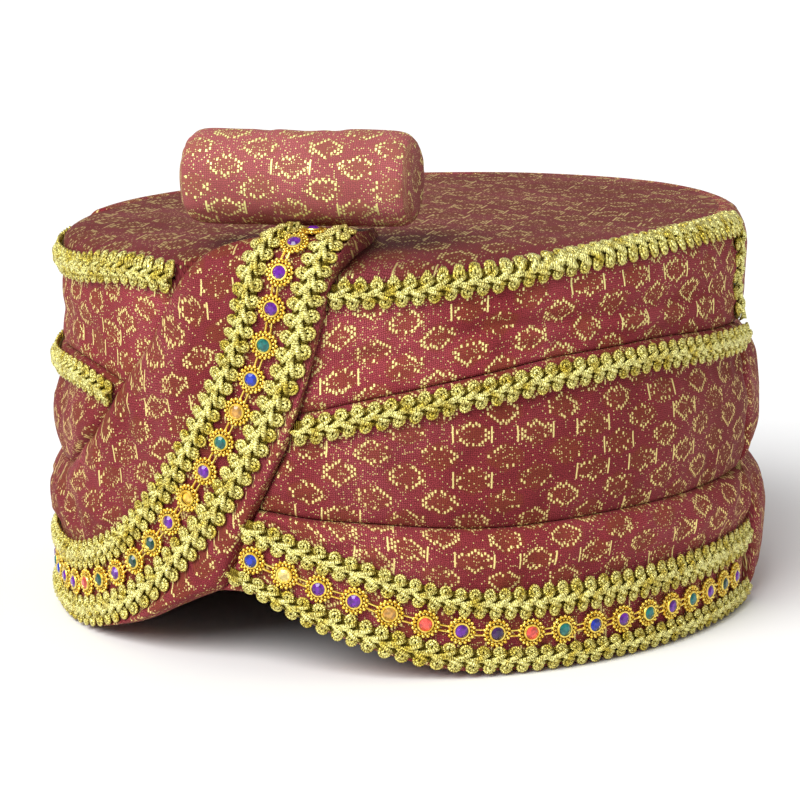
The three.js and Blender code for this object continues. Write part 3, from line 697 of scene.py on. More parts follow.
# The crown's brocade is painted darker, as painted shade
dressed_cloth(crown_cloth, "crown", BROCADE_TOP_PAINTED_SHADE)

# Wound folds
# Three lengths of brocade padded with wadding and wound round the crown, one over the other. The
# upper and middle ones carry a braid along their upper edge, and the lower one a rolled edge and
# the hem's trim. Each tucks in behind the one below it and under the band.
FOLD_STEP = 3.4
SECTION_STEP = 2.2
BED_MARGIN = 0.7
# What lies further in than this is hidden behind the fold's face
FACE_OUT = -12
UPPER_SWELL = table(
    "share out", (-0.018, -6.2), (-0.018, -5.4), (0.03, -4.8), (0.2, -5.6), (0.45, -6.5), (0.7, -5.7)
)
MIDDLE_SWELL = table(
    "share out", (-0.01, -5.2), (-0.01, -4.4), (0.05, -3.7), (0.2, -3.2), (0.6, -2.3)
)
LOWER_SWELL = table(
    "share out", (0.12, -1.2), (0.35, -0.2), (0.6, -0.1), (0.85, -0.9), (0.96, -2.4), (1, -4)
)
FULL_SWELL_HEIGHT = 12
HEM = table(
    "along up above below",
    (-34, 37.6, 11, 8.8),
    (-15.6, 31.3, 11, 8.8),
    (-5.9, 28, 11, 10),
    (3.8, 24.8, 11, 11.2),
    (13.3, 21.8, 10.9, 11.8),
    (22.7, 18.4, 10.9, 11.8),
    (32, 15.5, 11, 11.4),
    (41.8, 13.2, 11.3, 11.2),
    (52.1, 11.8, 12, 10.9),
    (64, 11, 13, 10.4),
    (80, 10.7, 13.4, 10.2),
    (165.4, 10.7, 13.4, 10.2),
)


def fold_top(along):
    return fold_row("middle", along) + BRAID_WIDTH / 2 + 0.5


def swell(rows, bottom, height):
    return [(bottom + share * height, out) for share, out in zip(rows["share"], rows["out"])]


def upper_span(along):
    """The heights at which the upper fold's puffed face starts and ends."""
    return fold_top(along) + GAP, fold_row("upper", along) - BRAID_WIDTH / 2 - BED_MARGIN


def upper_outline(along):
    bottom, bed = upper_span(along)
    edge_up, edge_out, _ = face(along, fold_row("upper", along))
    return [
        (bottom, WRAP_OUT),
        (bottom, -7.5),
        *swell(UPPER_SWELL, bottom, bed - bottom),
        (np.minimum(bed, rim_at(along)[0]), UPPER_BED_OUT),
        (edge_up, edge_out),
        (shelf(along) - 1.5 * GAP, WRAP_OUT),
    ]


def middle_outline(along):
    bottom = fold_row("lower", along) + GAP
    bed = fold_row("middle", along) - BRAID_WIDTH / 2 - BED_MARGIN
    return [
        (bottom, WRAP_OUT),
        (bottom, -6.5),
        *swell(MIDDLE_SWELL, bottom, bed - bottom),
        (bed, MIDDLE_BED_OUT),
        (fold_top(along) - 0.8, MIDDLE_BED_OUT),
        (fold_top(along), MIDDLE_BED_OUT - 1.5),
        (fold_top(along), WRAP_OUT),
    ]


def hem_trim_top(along):
    return smooth(HEM, "along", "up", along) + 1.05 * smooth(HEM, "along", "above", along)


def lower_outline(along):
    lower = fold_row("lower", along)
    hem = np.maximum(fold_row("hem", along), 0)
    bed = np.minimum(hem_trim_top(along) + 2 * GAP, lower - 2)
    fullness = np.clip((lower - bed) / FULL_SWELL_HEIGHT, 0, 1)
    puffed = [
        (up, np.minimum(out, TRIM_BED_OUT) * (1 - fullness) + out * fullness)
        for up, out in swell(LOWER_SWELL, bed, lower - bed)
    ]
    return [
        (hem, WRAP_OUT),
        (hem, TRIM_BED_OUT - 1.6),
        (hem + 1.2, TRIM_BED_OUT),
        (bed, TRIM_BED_OUT),
        *puffed,
        (lower, WRAP_OUT),
    ]


PRESSURE = 4.0
SPARE_CLOTH = 0.04
STUFFING_FRAMES = 14
MOST_SWELL = 1.3


def stuffed(piece, free, most=MOST_SWELL):
    """Fills the cloth out over its padding by simulation, with a little cloth to spare. free
    says how far each corner is from being sewn down, from 0 to 1, and most caps how far one
    may move, in millimetres."""
    before = corners_of(piece)
    sewn = piece.vertex_groups.new(name="sewn")
    for k, part in enumerate(free.ravel()):
        sewn.add([k], float(1 - part), "REPLACE")
    work_on(piece)
    modifier = piece.modifiers.new("stuffing", "CLOTH")
    cloth = modifier.settings
    cloth.quality = 5
    cloth.vertex_group_mass = "sewn"
    cloth.use_pressure = True
    cloth.uniform_pressure_force = PRESSURE
    cloth.shrink_min = -SPARE_CLOTH
    cloth.bending_stiffness = 0.1
    cloth.effector_weights.gravity = 0
    modifier.point_cache.frame_end = STUFFING_FRAMES
    for frame_number in range(1, STUFFING_FRAMES + 1):
        bpy.context.scene.frame_set(frame_number)
    bpy.ops.object.modifier_apply(modifier=modifier.name)
    bpy.context.scene.frame_set(1)
    moved = corners_of(piece) - before
    far = np.linalg.norm(moved, axis=1)[:, None]
    move_corners(piece, before + moved * np.minimum(1, most * MM / np.maximum(far, 1e-9)))
    piece.vertex_groups.clear()


def step(value, width):
    """0 below 0, 1 above the width, and a soft step between them."""
    share = np.clip(value / width, 0, 1)
    return share * share * (3 - 2 * share)


def outline_rows(outline, rows, spacing):
    """The two coordinates of an outline's points, one row for each place along the piece."""
    corners = [np.broadcast_arrays(first, second, rows)[:2] for first, second in outline]
    outlines = filled_in(np.array(corners, float).transpose(2, 0, 1), spacing)
    return outlines[..., 0], outlines[..., 1]


def fold(name, outline, start, end, raised, loose):
    """A wound fold from its outline, as one long padded tube. raised moves its weave up, and
    loose lists the spans of height, from one to the other, where the cloth isn't sewn down."""
    along = np.linspace(start, end, round((end - start) / FOLD_STEP) + 1)
    up, out = outline_rows(outline(along), along, SECTION_STEP)
    along = along[:, None]
    points = place(along, up, out)
    reach = lengths(points) + raised * MM
    weave = np.stack([np.broadcast_to(along * MM, reach.shape), reach], axis=-1)
    piece = cloth_body(name, points, weave)
    free = np.zeros(reach.shape)
    for low, high in loose(along):
        free = np.maximum(free, step(up - low, 3) * step(high - up, 3))
    free *= step(out - FACE_OUT, 3)
    free *= step(along - start, 4) * step(end - along, 4)
    stuffed(piece, free)
    rounded(piece)
    return piece


def upper_loose(along):
    return [(fold_top(along) + 1.5, fold_row("upper", along) - BRAID_WIDTH / 2 - 1)]


def middle_loose(along):
    return [(fold_row("lower", along) + 1.5, fold_row("middle", along) - BRAID_WIDTH / 2 - 1)]


def lower_loose(along):
    return [(hem_trim_top(along), fold_row("lower", along) - 1)]


def crease(piece, line, depth, width):
    """Presses a soft crease into the cloth along a line of (along, up) places. It fades out at
    both ends."""
    points = corners_of(piece)
    along, up, out = chart_of(points)
    line = np.array(line, float)
    walked = np.concatenate([[0], np.cumsum(np.linalg.norm(np.diff(line, axis=0), axis=1))])
    fine = np.linspace(0, walked[-1], int(walked[-1]) + 2)
    path = np.stack([np.interp(fine, walked, line[:, 0]), np.interp(fine, walked, line[:, 1])])
    near = np.hypot(along[:, None] - path[0], up[:, None] - path[1])
    closest = near.argmin(axis=1)
    share = fine[closest] / walked[-1]
    fade = np.clip(np.minimum(share, 1 - share) * 5, 0, 1)
    amount = depth * fade * np.exp(-((near.min(axis=1) / width) ** 2)) * (out > FACE_OUT)
    move_corners(piece, place(along, up, out - amount))


def soft_wander(piece, amount, size):
    """Lets the cloth's face wander in and out by a slow, irregular amount."""
    points = corners_of(piece)
    along, up, out = chart_of(points)
    drift = np.array([noise.noise(Vector(p) / (size * MM)) for p in points])
    move_corners(piece, place(along, up, out + amount * drift * (out > FACE_OUT - 1)))


# Each crease's line, depth and width
UPPER_CREASES = [
    ([(22, 91.2), (42, 92.8), (72, 93.9), (110, 95.7), (150, 95.6)], 1.7, 2.2),
    ([(34, 84), (60, 86), (96, 88), (140, 86)], 0.8, 3.2),
    ([(-100, 84), (-80, 80), (-62, 79)], 0.6, 3.0),
]
MIDDLE_CREASES = [
    ([(-4, 60), (30, 57), (70, 62), (120, 61)], 0.7, 3.5),
    ([(20, 50), (60, 52), (100, 50)], 0.6, 3.0),
]
# The upper fold's brocade is painted lighter, as painted light, and the middle fold's darker, as
# painted shade
for node, outline, raised, loose, creases, material in (
    ("upper_fold", upper_outline, 0.0, upper_loose, UPPER_CREASES, BROCADE_PAINTED_LIT),
    ("middle_fold", middle_outline, 4.0, middle_loose, MIDDLE_CREASES, BROCADE_PAINTED_SHADE),
    ("lower_fold", lower_outline, 9.0, lower_loose, [], BROCADE),
):
    piece = fold(f"{node}_cloth", outline, -SEAM, SEAM, raised, loose)
    for line, depth, width in creases:
        crease(piece, line, depth, width)
    soft_wander(piece, 0.7, 22)
    tuck_under_band(piece)
    dressed_cloth(piece, node, material)

# Back panel
# The brocade goes on round the back in three deep rolled pleats, padded like the folds and sewn
# down over their ends at both seams.
BACK_PANEL = [
    (0, -3), (4, -1.1), (14, 0.1), (25, 0.4), (31, -0.2), (35, -1.6), (38, -3.9), (39.2, -5.4),
    (40.2, -4.2), (43, -2.7), (51, -2.1), (60, -2), (68, -2.6), (74, -3.8), (77.4, -6.2),
    (78.6, -8.2), (79.8, -7.4), (84, -6.8), (96, -6.3), (106, -5.9), (110.4, -6.9),
    (112.8, -9.2), (113.6, -12), (112.8, -15.2),
]


def back_outline(along):
    rest = [(BACK_PANEL[-1][0] - 1.2, WRAP_OUT), (60, WRAP_OUT), (0, WRAP_OUT)]
    return [*BACK_PANEL, *rest]


def back_loose(along):
    return [(3, 37), (40.5, 76.5), (81, 110)]


BACK_START = SEAM + GAP / 2
BACK_END = PERIMETER - SEAM - GAP / 2
LEFT_SINK = 2.4
back_cloth = fold("back_panel_cloth", back_outline, BACK_START, BACK_END, 2.0, back_loose)
soft_wander(back_cloth, 0.8, 26)

# The top pleat lies lower towards the left seam
along, up, out = chart_of(corners_of(back_cloth))
leftward = step(np.mod(along, PERIMETER) - BACK_START - 40, BACK_END - BACK_START - 60)
move_corners(back_cloth, place(along, up - LEFT_SINK * leftward * step(up - 96, 14), out))
dressed_cloth(back_cloth, "back_panel")

# Front band
# A wide padded band of the same brocade. It starts under the roll, comes over the rim and down
# across the front, and goes on round the left as its lowest fold. Its trim is sewn along its
# right side, past which a narrow roll of cloth shows.
BAND_EDGE_SHARE = 0.35
BAND_STRIP_SHARE = 1.35


def band():
    walked = np.linspace(0, BAND_LENGTH, round(BAND_LENGTH / FOLD_STEP) + 1)
    margin, right, strip, lip, middle = (
        smooth(BAND, "walked", name, walked) for name in ("margin", "right", "strip", "lip", "middle")
    )
    strip = np.maximum(strip, 0.4)
    left = BAND_LEFT + margin
    bulge = 1 + (BAND_STRIP_SHARE - 1) * np.minimum(strip / 3, 1)
    outline = [
        (left, BAND_EDGE_SHARE * 0.6),
        (left - 0.8, lip * 0.45),
        (left - 2.6, lip * 0.72),
        (left - 5.5, lip * 0.94),
        (BAND_LEFT + 0.62 * margin, (lip + middle) / 2),
        (BAND_LEFT + 0.42 * margin, middle),
        (BAND_LEFT + 0.15 * margin, (middle + 1) / 2),
        (BAND_LEFT + 0.4, 1),
        (0, 1),
        (-right, 1),
        (-right - 0.2 * strip, bulge),
        (-right - 0.5 * strip, bulge * 1.06),
        (-right - 0.8 * strip, bulge),
        (-right - strip, BAND_EDGE_SHARE),
        (-right - strip, 0),
        (0 * left, 0),
        (left, 0),
    ]
    side, share = outline_rows(outline, walked, 2.0)
    along, up = beside(BAND, walked[:, None], side, -1)
    bed_height, bed_out = band_face(up, TRIM_BED_OUT)
    under_height = smooth(BAND_UNDER, "up", "height", up)
    under_out = smooth(BAND_UNDER, "up", "out", up)
    height = under_height + (bed_height - under_height) * share + np.minimum(up, 0)
    points = place(along, height, under_out + (bed_out - under_out) * share)
    weave = np.stack([along + 0.16 * up, up - 0.16 * along + 6 * share], axis=-1) * MM
    piece = cloth_body("front_band_cloth", points, weave)
    on_margin = step(side - BAND_LEFT - 1, 4) * step(left[:, None] - 1 - side, 4)
    free = on_margin * (share > 0.5) * step(walked[:, None] - 44, 8)
    stuffed(piece, free * step(BAND_LENGTH - walked[:, None], 4))
    rounded(piece)
    return piece


# The band's brocade is painted darker, as painted shade
dressed_cloth(band(), "front_band", BROCADE_PAINTED_SHADE)

# Top roll
# A tube of the brocade stuffed firm and closed at both ends, laid across the band's top and
# stitched down. Its cloth puckers a little at the ends.
ROLL_MIDDLE = (-7.5, -90.0, 130.4)
ROLL_RADIUS = 12.9
ROLL_HALF = 31.6
ROLL_SWELL = 0.4
ROLL_END = table(
    "inset radius", (0, 8.6), (0.35, 10), (1.4, 11.5), (3.2, 12.4), (6, 12.85), (9.5, 12.9)
)


def roll():
    ends = ROLL_END["inset"] - ROLL_HALF
    middle = np.linspace(-ROLL_HALF + 14, ROLL_HALF - 14, 14)
    x = np.concatenate([ends, middle, -ends[::-1]])
    radius = np.interp(ROLL_HALF - np.abs(x), ROLL_END["inset"], ROLL_END["radius"])
    face_x = np.sign(x[[0, -1]]) * (ROLL_HALF - 0.3)
    x = np.concatenate([[face_x[0] + 0.1, face_x[0]], x, [face_x[1], face_x[1] - 0.1]])
    radius = np.concatenate([[2.0, 5.6], radius, [5.6, 2.0]])
    turn = np.linspace(-math.pi / 2, 3 * math.pi / 2, 56, endpoint=False)
    points = np.stack(np.broadcast_arrays(
        x[:, None], radius[:, None] * np.cos(turn), radius[:, None] * np.sin(turn)
    ), axis=-1)
    middle = np.array(ROLL_MIDDLE)
    round_it = np.stack(np.broadcast_arrays(x[:, None], turn * ROLL_RADIUS), axis=-1)
    on_cap = (np.abs(x) > ROLL_HALF - 1)[:, None, None]
    weave = np.where(on_cap, points[..., 1:], round_it) * MM
    piece = cloth_body("top_roll_cloth", (points + middle) * MM, weave)
    free = step(ROLL_HALF - 0.5 - np.abs(points[..., 0]), 3) * step(points[..., 2] + 12.5, 3)
    stuffed(piece, free, ROLL_SWELL)
    rounded(piece)
    points = corners_of(piece) / MM - middle
    turn = np.arctan2(points[:, 2], points[:, 1])
    near_end = np.clip((np.abs(points[:, 0]) - 14) / (ROLL_HALF - 14), 0, 1)
    drift = np.array([noise.noise(Vector((p[0] / 16, p[1] / 9, p[2] / 9))) for p in points])
    pucker = 0.28 * np.sin(turn * 11 + 2.5 * np.sin(turn * 3)) * near_end**2
    scale = 1 + (0.35 * drift + pucker - 0.25) / ROLL_RADIUS
    points[:, 1:] *= scale[:, None]
    move_corners(piece, (points + middle) * MM)
    return piece


# The roll's brocade is painted lighter and pinker, as painted light and painted sheen
dressed_cloth(roll(), "top_roll", BROCADE_ROLL_PAINTED_LIGHT)

# Gimp braids
# Gold gimp cord wound into two rows of small scrolls, whose tails are plaited together along the
# middle. One braid is sewn along each folded edge, and one on each side of a row of stones.
SCROLL_PITCH = 4.45
SCROLL_MIDDLE = 2.3
SCROLL_RADIUS = 1.56
SCROLL_TURN = 720
CURL_TURN = 600
CURL_RADIUS = 0.2
CORD_RADIUS = 0.50
LEAF_RADIUS = 0.68
LEAF = [
    (2.3, 1.85, 0.7, 0.55), (1.3, 1.5, 1.6, 0.9), (0.1, 1.0, 2.1, 1.1),
    (-1.1, 0.45, 2.0, 1.05), (-2.2, 0.0, 1.3, 0.8), (-2.9, -0.30, 0.7, 0.5),
]
BRAID_HEIGHT = 2.6
# The two rows lie at slightly different heights where they meet
ROW_LIFT = 0.12
MIDDLE_CORD_LIFT = 2.2
MIDDLE_CORD_RADIUS = 0.46
MIDDLE_CORD_WAVE = 0.3

# The gimp's gold, its painted highlight and its painted shade
BRAID_GOLD = (0.88, 0.71, 0.095, 1)
BRAID_PAINTED_HIGHLIGHT = (1.0, 0.96, 0.37, 1)
BRAID_SHADE = (0.17, 0.11, 0.006, 1)


def gimp():
    wire, finish = new_material("gimp_braid")
    place_on = wire.node("TexCoord", output=3)
    wound = wire.node("Attribute", {"attribute_name": "wound"}, output=2)
    ridges = abs(wound * 1.7 % 1.0 - 0.5).between(0.06, 0.40)
    spark = place_on.spots(1500.0).between(0.38, 0.60)
    tone = place_on.spots(240.0)
    proud = wire.node("Attribute", {"attribute_name": "proud"}, output=2)
    # Painted light and shade: the cord is painted dark where it lies low near the bed, and pale with
    # painted highlights and glints where it stands proud
    lit = proud.between(0.02, 0.42)
    colour = ((ridges * 0.35 + spark * 0.65) * lit).blend(BRAID_SHADE, BRAID_GOLD)
    pale = (spark * 0.6 + ridges * 0.4) * tone.between(0.3, 0.6) * proud.between(0.2, 0.8)
    colour = (pale * 1.5).smaller(1.0).blend(colour, BRAID_PAINTED_HIGHLIGHT)
    relief = ridges * 0.8 + spark * 0.6
    return finish({
        "Base Color": colour,
        "Metallic": 0.7,
        "Roughness": 0.44 - spark * 0.16,
        "Normal": relief.bump(0.7, 0.0003),
    })


GIMP = gimp()


def cord(path, radius, sides):
    """A cord round a path of points: its corners, faces and the distance along it."""
    ahead = np.gradient(path, axis=0)
    ahead /= np.linalg.norm(ahead, axis=1)[:, None]
    across = np.cross(ahead, (0, 0, 1))
    across /= np.linalg.norm(across, axis=1)[:, None]
    above = np.cross(across, ahead)
    turn = np.linspace(0, 2 * math.pi, sides, endpoint=False)
    rings = across[:, None] * np.cos(turn)[:, None] + above[:, None] * np.sin(turn)[:, None]
    corners = (path[:, None] + rings * np.reshape(radius, (-1, 1, 1))).reshape(-1, 3)
    faces = [
        (k + j, k + sides + j, k + sides + (j + 1) % sides, k + (j + 1) % sides)
        for k in range(0, sides * (len(path) - 1), sides)
        for j in range(sides)
    ]
    faces.append(tuple(range(sides)))
    faces.append(tuple(range(sides * (len(path) - 1), sides * len(path)))[::-1])
    steps = np.linalg.norm(np.diff(path, axis=0), axis=1)
    return corners, faces, np.repeat(np.concatenate([[0], np.cumsum(steps)]), sides)


def scroll():
    """One scroll of cord, lying flat with the braid's length along X, and the leaf of cord
    beside it. The cord curls out from the scroll's middle, and the leaf leans over its side."""
    turned = np.linspace(0, SCROLL_TURN, 25)
    radius = CURL_RADIUS + (SCROLL_RADIUS - CURL_RADIUS) * np.minimum(turned / CURL_TURN, 1)
    angle = np.radians(SCROLL_TURN - 90 - turned)
    rise = 1.45 - 0.6 * np.minimum(turned / CURL_TURN, 1)
    loop = np.stack(
        [radius * np.cos(angle), SCROLL_MIDDLE + radius * np.sin(angle), rise], axis=1
    )
    corners, faces, wound = cord(loop, CORD_RADIUS, 5)
    leaf = np.array(LEAF)
    leaf_corners, leaf_faces, leaf_wound = cord(leaf[:, :3], LEAF_RADIUS * leaf[:, 3], 6)
    faces += [tuple(corner + len(corners) for corner in found) for found in leaf_faces]
    return np.vstack([corners, leaf_corners]), faces, np.concatenate([wound, leaf_wound])


SCROLL_CORNERS, SCROLL_FACES, SCROLL_WOUND = scroll()
# A low strip under the braid's middle, which the gimp's material paints dark: painted shade in the
# gaps between the scrolls
PAINTED_SHADE_STRIP = [(-2.7, 0.0), (-2.5, 0.3), (-0.9, 0.4), (0.9, 0.4), (2.5, 0.3), (2.7, 0.0)]


def braid(name, start, end, onto, width=None):
    """A braid laid along a path. onto puts a distance along the path, to its side and off its
    bed in space, and width gives the braid's width at a distance."""
    count = max(2, round((end - start) / SCROLL_PITCH))
    pitch = (end - start) / count
    parts, wound, faces = [], [], []
    size = len(SCROLL_CORNERS)
    for k in range(2 * count):
        row = 1 if k % 2 else -1
        middle = start + pitch * (k / 2 + 0.5)
        parts.append(SCROLL_CORNERS * (1, row, 1) + (middle, 0, ROW_LIFT if k % 2 else 0))
        wound.append(SCROLL_WOUND + k)
        faces += [
            tuple(corner + k * size for corner in (found if row > 0 else found[::-1]))
            for found in SCROLL_FACES
        ]
    fine = np.linspace(start, end, 4 * count + 1)
    wave = MIDDLE_CORD_WAVE * np.sin(2 * math.pi * (fine - start) / pitch)
    middle_cord = np.stack([fine, wave, np.full(len(fine), MIDDLE_CORD_LIFT)], axis=1)
    found_corners, found_faces, found_wound = cord(middle_cord, MIDDLE_CORD_RADIUS, 5)
    faces += [tuple(corner + 2 * count * size for corner in found) for found in found_faces]
    parts.append(found_corners)
    wound.append(found_wound)
    first = 2 * count * size + len(found_corners)
    along = np.linspace(start, end, 2 * count + 1)
    sides = len(PAINTED_SHADE_STRIP)
    parts.append([(walked, *corner) for walked in along for corner in PAINTED_SHADE_STRIP])
    wound.append(np.repeat(along, sides))
    for k in range(len(along) - 1):
        for j in range(sides):
            here, nxt = first + k * sides, (j + 1) % sides
            faces.append((here + j, here + nxt, here + sides + nxt, here + sides + j))
    faces.append(tuple(range(first, first + sides))[::-1])
    faces.append(tuple(range(first + 2 * count * sides, first + (2 * count + 1) * sides)))
    run, side, lift = np.vstack(parts).T
    run = np.clip(run, start - 1.5, end + 1.5)
    share = 1 if width is None else width(run) / BRAID_WIDTH
    piece = new_piece(name, onto(run, side * share, lift), faces)
    note(piece, "wound", "FLOAT", "value", np.concatenate(wound))
    # How high each corner stands off the bed, from which the gimp's material paints shade low down and
    # highlights high up
    note(piece, "proud", "FLOAT", "value", lift / BRAID_HEIGHT)
    face_outwards(piece)
    bpy.ops.object.shade_smooth()
    piece.data.materials.append(GIMP)
    return piece


def on_upper_edge(along, side, lift):
    up, out, lean = face(along, fold_row("upper", along) + side)
    lift = lift + GAP
    return place(along, up + lift * np.sin(lean), out + lift * np.cos(lean))


def on_middle_edge(along, side, lift):
    return place(along, fold_row("middle", along) + side, MIDDLE_BED_OUT + GAP + lift)


def past_band(heights, towards):
    """Where an edge at the given heights comes out from under the band, to its left (-1) or
    its right (1)."""
    along = np.arange(-90.0, 20.0, 0.5)
    walked, side = band_place(along, heights(along))
    left, right = band_edges(walked)
    if towards < 0:
        return along[side > left - 0.5].max()
    return along[side < -right + 0.5].min()


BRAID_END = 165.6
for edge, onto in (("upper", on_upper_edge), ("middle", on_middle_edge)):
    left_end = past_band(lambda along: fold_row(edge, along), -1)
    right_start = past_band(lambda along: fold_row(edge, along), 1)
    left = braid(f"{edge}_braid_left_gimp", -BRAID_END, left_end - 2, onto)
    right = braid(f"{edge}_braid_right_gimp", right_start, BRAID_END, onto)
    sew_on(left, f"{edge}_braid_left")
    sew_on(right, f"{edge}_braid_right")

SIDE_BRAID_ALONG = 162.3
SIDE_BRAID_WIDTH = 6.6
for sign, name in ((-1, "left"), (1, "right")):
    middle = sign * SIDE_BRAID_ALONG
    bottom, bed = upper_span(middle)
    heights, offsets = np.array(swell(UPPER_SWELL, bottom, bed - bottom)).T
    low = float(fold_top(middle)) + 1.2
    high = float(fold_row("upper", middle)) - BRAID_WIDTH / 2 - GAP

    def on_upright(up, side, lift, middle=middle, heights=heights, offsets=offsets):
        return place(middle + side, up, np.interp(up, heights, offsets) + 0.5 + lift)

    upright = braid(f"side_braid_{name}_gimp", low, high, on_upright, lambda run: SIDE_BRAID_WIDTH)
    sew_on(upright, f"side_braid_{name}")

STONE_ROOM = 3.9
WIDEST_BRAID = 8.9
BAND_TRIM_TOP = 28.0
HEM = with_distance(HEM)
HEM_LENGTH = HEM["walked"][-1]


def on_hem(walked, side, lift):
    along, up = beside(HEM, walked, side, 1)
    return place(along, up, lift)


def trim_braid(name, start, end, towards, edge_at, on_path):
    """A braid that fills the room between a trim's stones and its edge."""
    def width(walked):
        return np.minimum(WIDEST_BRAID, edge_at(walked) - STONE_ROOM)

    def onto(walked, side, lift):
        middle = towards * (edge_at(walked) - width(walked) / 2)
        return on_path(walked, middle + side, TRIM_BED_OUT + GAP / 2 + lift)

    sew_on(braid(f"{name}_gimp", start, end, onto, width), f"{name}_braid")


def band_left(walked):
    return BAND_LEFT + 0 * walked


def band_right(walked):
    return smooth(BAND, "walked", "right", walked)


def hem_above(walked):
    return smooth(HEM, "walked", "above", walked)


def hem_below(walked):
    return smooth(HEM, "walked", "below", walked)


BAND_TRIM_END = BAND_LENGTH - 1.2
HEM_START = 14.0
HEM_TRIM_END = HEM_LENGTH - 0.6
trim_braid("band_left", BAND_TRIM_TOP, BAND_TRIM_END, 1, band_left, on_band)
trim_braid("band_right", BAND_TRIM_TOP, BAND_TRIM_END, -1, band_right, on_band)
trim_braid("hem_upper", HEM_START, HEM_TRIM_END, 1, hem_above, on_hem)
trim_braid("hem_lower", HEM_START, HEM_TRIM_END, -1, hem_below, on_hem)

# Stones and settings
# Round gilt settings, each with a small faceted glass stone in a smooth bezel inside a ring of
# beads on spokes. They are cast in a string, joined by pairs of short bars, and sewn down.
STONE_PITCH = 10.0
BAND_FIRST_STONE = 32.0
BAND_LAST_MARGIN = 5.0
HEM_FIRST_STONE = 19.4
LINK_REACH = 3.7
LINK_SIDE = 0.75
LINK_LIFT = 0.75
LINK_RADIUS = 0.3
BEZEL_RADIUS = 2.0
BEZEL_FOOT_RADIUS = 2.3
BEZEL_RIM_RADIUS = 0.34
STONE_RADIUS = 1.85
STONE_TABLE_RADIUS = 0.95
STONE_HEIGHT = 0.62
STONE_LIFT = 1.62
EMPTY_HEIGHT = 0.55
SPOKES_RADIUS = 3.05
SPOKES_WIRE_RADIUS = 0.26
BEADS = 17
BEAD_RING_RADIUS = 3.45
BEAD_RADIUS = 0.58
INNER_RING_RADIUS = 2.75
INNER_BEAD_RADIUS = 0.38
GILT = (1.0, 0.79, 0.17, 1)
GILT_DEEP = (0.72, 0.46, 0.045, 1)

STONES = {
    "purple": (0.105, 0.004, 0.25),
    "dark_purple": (0.035, 0.004, 0.07),
    "blue": (0.006, 0.022, 0.30),
    "teal": (0.002, 0.12, 0.105),
    "green": (0.002, 0.045, 0.028),
    "amber": (0.50, 0.25, 0.045),
    "pale": (0.80, 0.62, 0.20),
    "coral": (0.68, 0.075, 0.055),
    "empty": (0.72, 0.44, 0.05),
}
BAND_STONES = (
    "purple purple purple purple teal blue amber teal purple empty purple green green purple green "
    "coral purple purple blue teal purple amber purple blue purple coral teal purple purple green"
).split()
HEM_STONES = (
    "blue pale purple purple amber coral purple dark_purple coral teal blue purple teal purple "
    "teal purple green purple"
).split()


def gilt():
    wire, finish = new_material("gilt_setting")
    wear = wire.node("TexCoord", output=3).spots(900.0, 3.0)
    tone = wear.between(0.34, 0.60)
    return finish({
        "Base Color": tone.blend(GILT_DEEP, GILT),
        "Metallic": 0.92,
        "Roughness": 0.36 - tone * 0.12,
        "Normal": wear.bump(0.35, 0.0002),
    })


def glass():
    wire, finish = new_material("cut_glass")
    colour = wire.node("Attribute", {"attribute_name": "stone"}, output=0)
    facet_light_and_flaw = wire.node("TexCoord", output=3).spots(700.0, 1.0)
    # This noise paints the stones' colour lighter and darker in small patches: painted light and shade
    # for the glints and dark parts of their facets
    depth = facet_light_and_flaw.between(0.3, 0.7).blend((0.4, 0.4, 0.4, 1), (1.7, 1.7, 1.7, 1))
    settings = {"data_type": "RGBA", "blend_type": "MULTIPLY"}
    lit = wire.node("Mix", settings, {"Factor": 0.7, 6: colour, 7: depth}, output=2)
    return finish({
        "Base Color": lit,
        "Roughness": facet_light_and_flaw * 0.08 + 0.04,
        "Coat Weight": 0.5,
        "Coat Roughness": 0.03,
        "Specular IOR Level": 0.5,
    })


GILT_METAL = gilt()
GLASS = glass()


def settled():
    """The shape just added, with its place and turn taken up by its corners."""
    bpy.ops.object.transform_apply(location=True, rotation=True, scale=True)
    return bpy.context.object


def setting():
    """The gilt part of one setting, lying flat with its middle at the origin."""
    bpy.ops.object.select_all(action="DESELECT")
    parts = []
    bpy.ops.mesh.primitive_torus_add(
        major_segments=20, minor_segments=6, major_radius=BEZEL_RADIUS,
        minor_radius=BEZEL_RIM_RADIUS, location=(0, 0, 1.25))
    parts.append(settled())
    bpy.ops.mesh.primitive_cone_add(
        vertices=20, radius1=BEZEL_FOOT_RADIUS, radius2=BEZEL_RADIUS, depth=1.0,
        end_fill_type="NOTHING", location=(0, 0, 0.75))
    parts.append(settled())
    bpy.ops.mesh.primitive_torus_add(
        major_segments=20, minor_segments=4, major_radius=SPOKES_RADIUS,
        minor_radius=SPOKES_WIRE_RADIUS, location=(0, 0, 0.5))
    parts.append(settled())
    for k in range(BEADS):
        for ring, radius, lift, shift, segments in (
            (BEAD_RING_RADIUS, BEAD_RADIUS, 0.65, 0.0, 6),
            (INNER_RING_RADIUS, INNER_BEAD_RADIUS, 0.95, 0.5, 5),
        ):
            turn = 2 * math.pi * (k + shift) / BEADS
            bpy.ops.mesh.primitive_uv_sphere_add(
                segments=segments, ring_count=segments - 2, radius=radius,
                location=(ring * math.cos(turn), ring * math.sin(turn), lift))
            parts.append(settled())
    for part in parts:
        part.select_set(True)
    bpy.context.view_layer.objects.active = parts[0]
    bpy.ops.object.join()
    return taken_apart(parts[0])


def taken_apart(piece):
    """A helper shape's corners and faces, after which the shape itself is gone."""
    corners = corners_of(piece)
    faces = [tuple(face.vertices) for face in piece.data.polygons]
    bpy.data.objects.remove(piece)
    return corners, faces


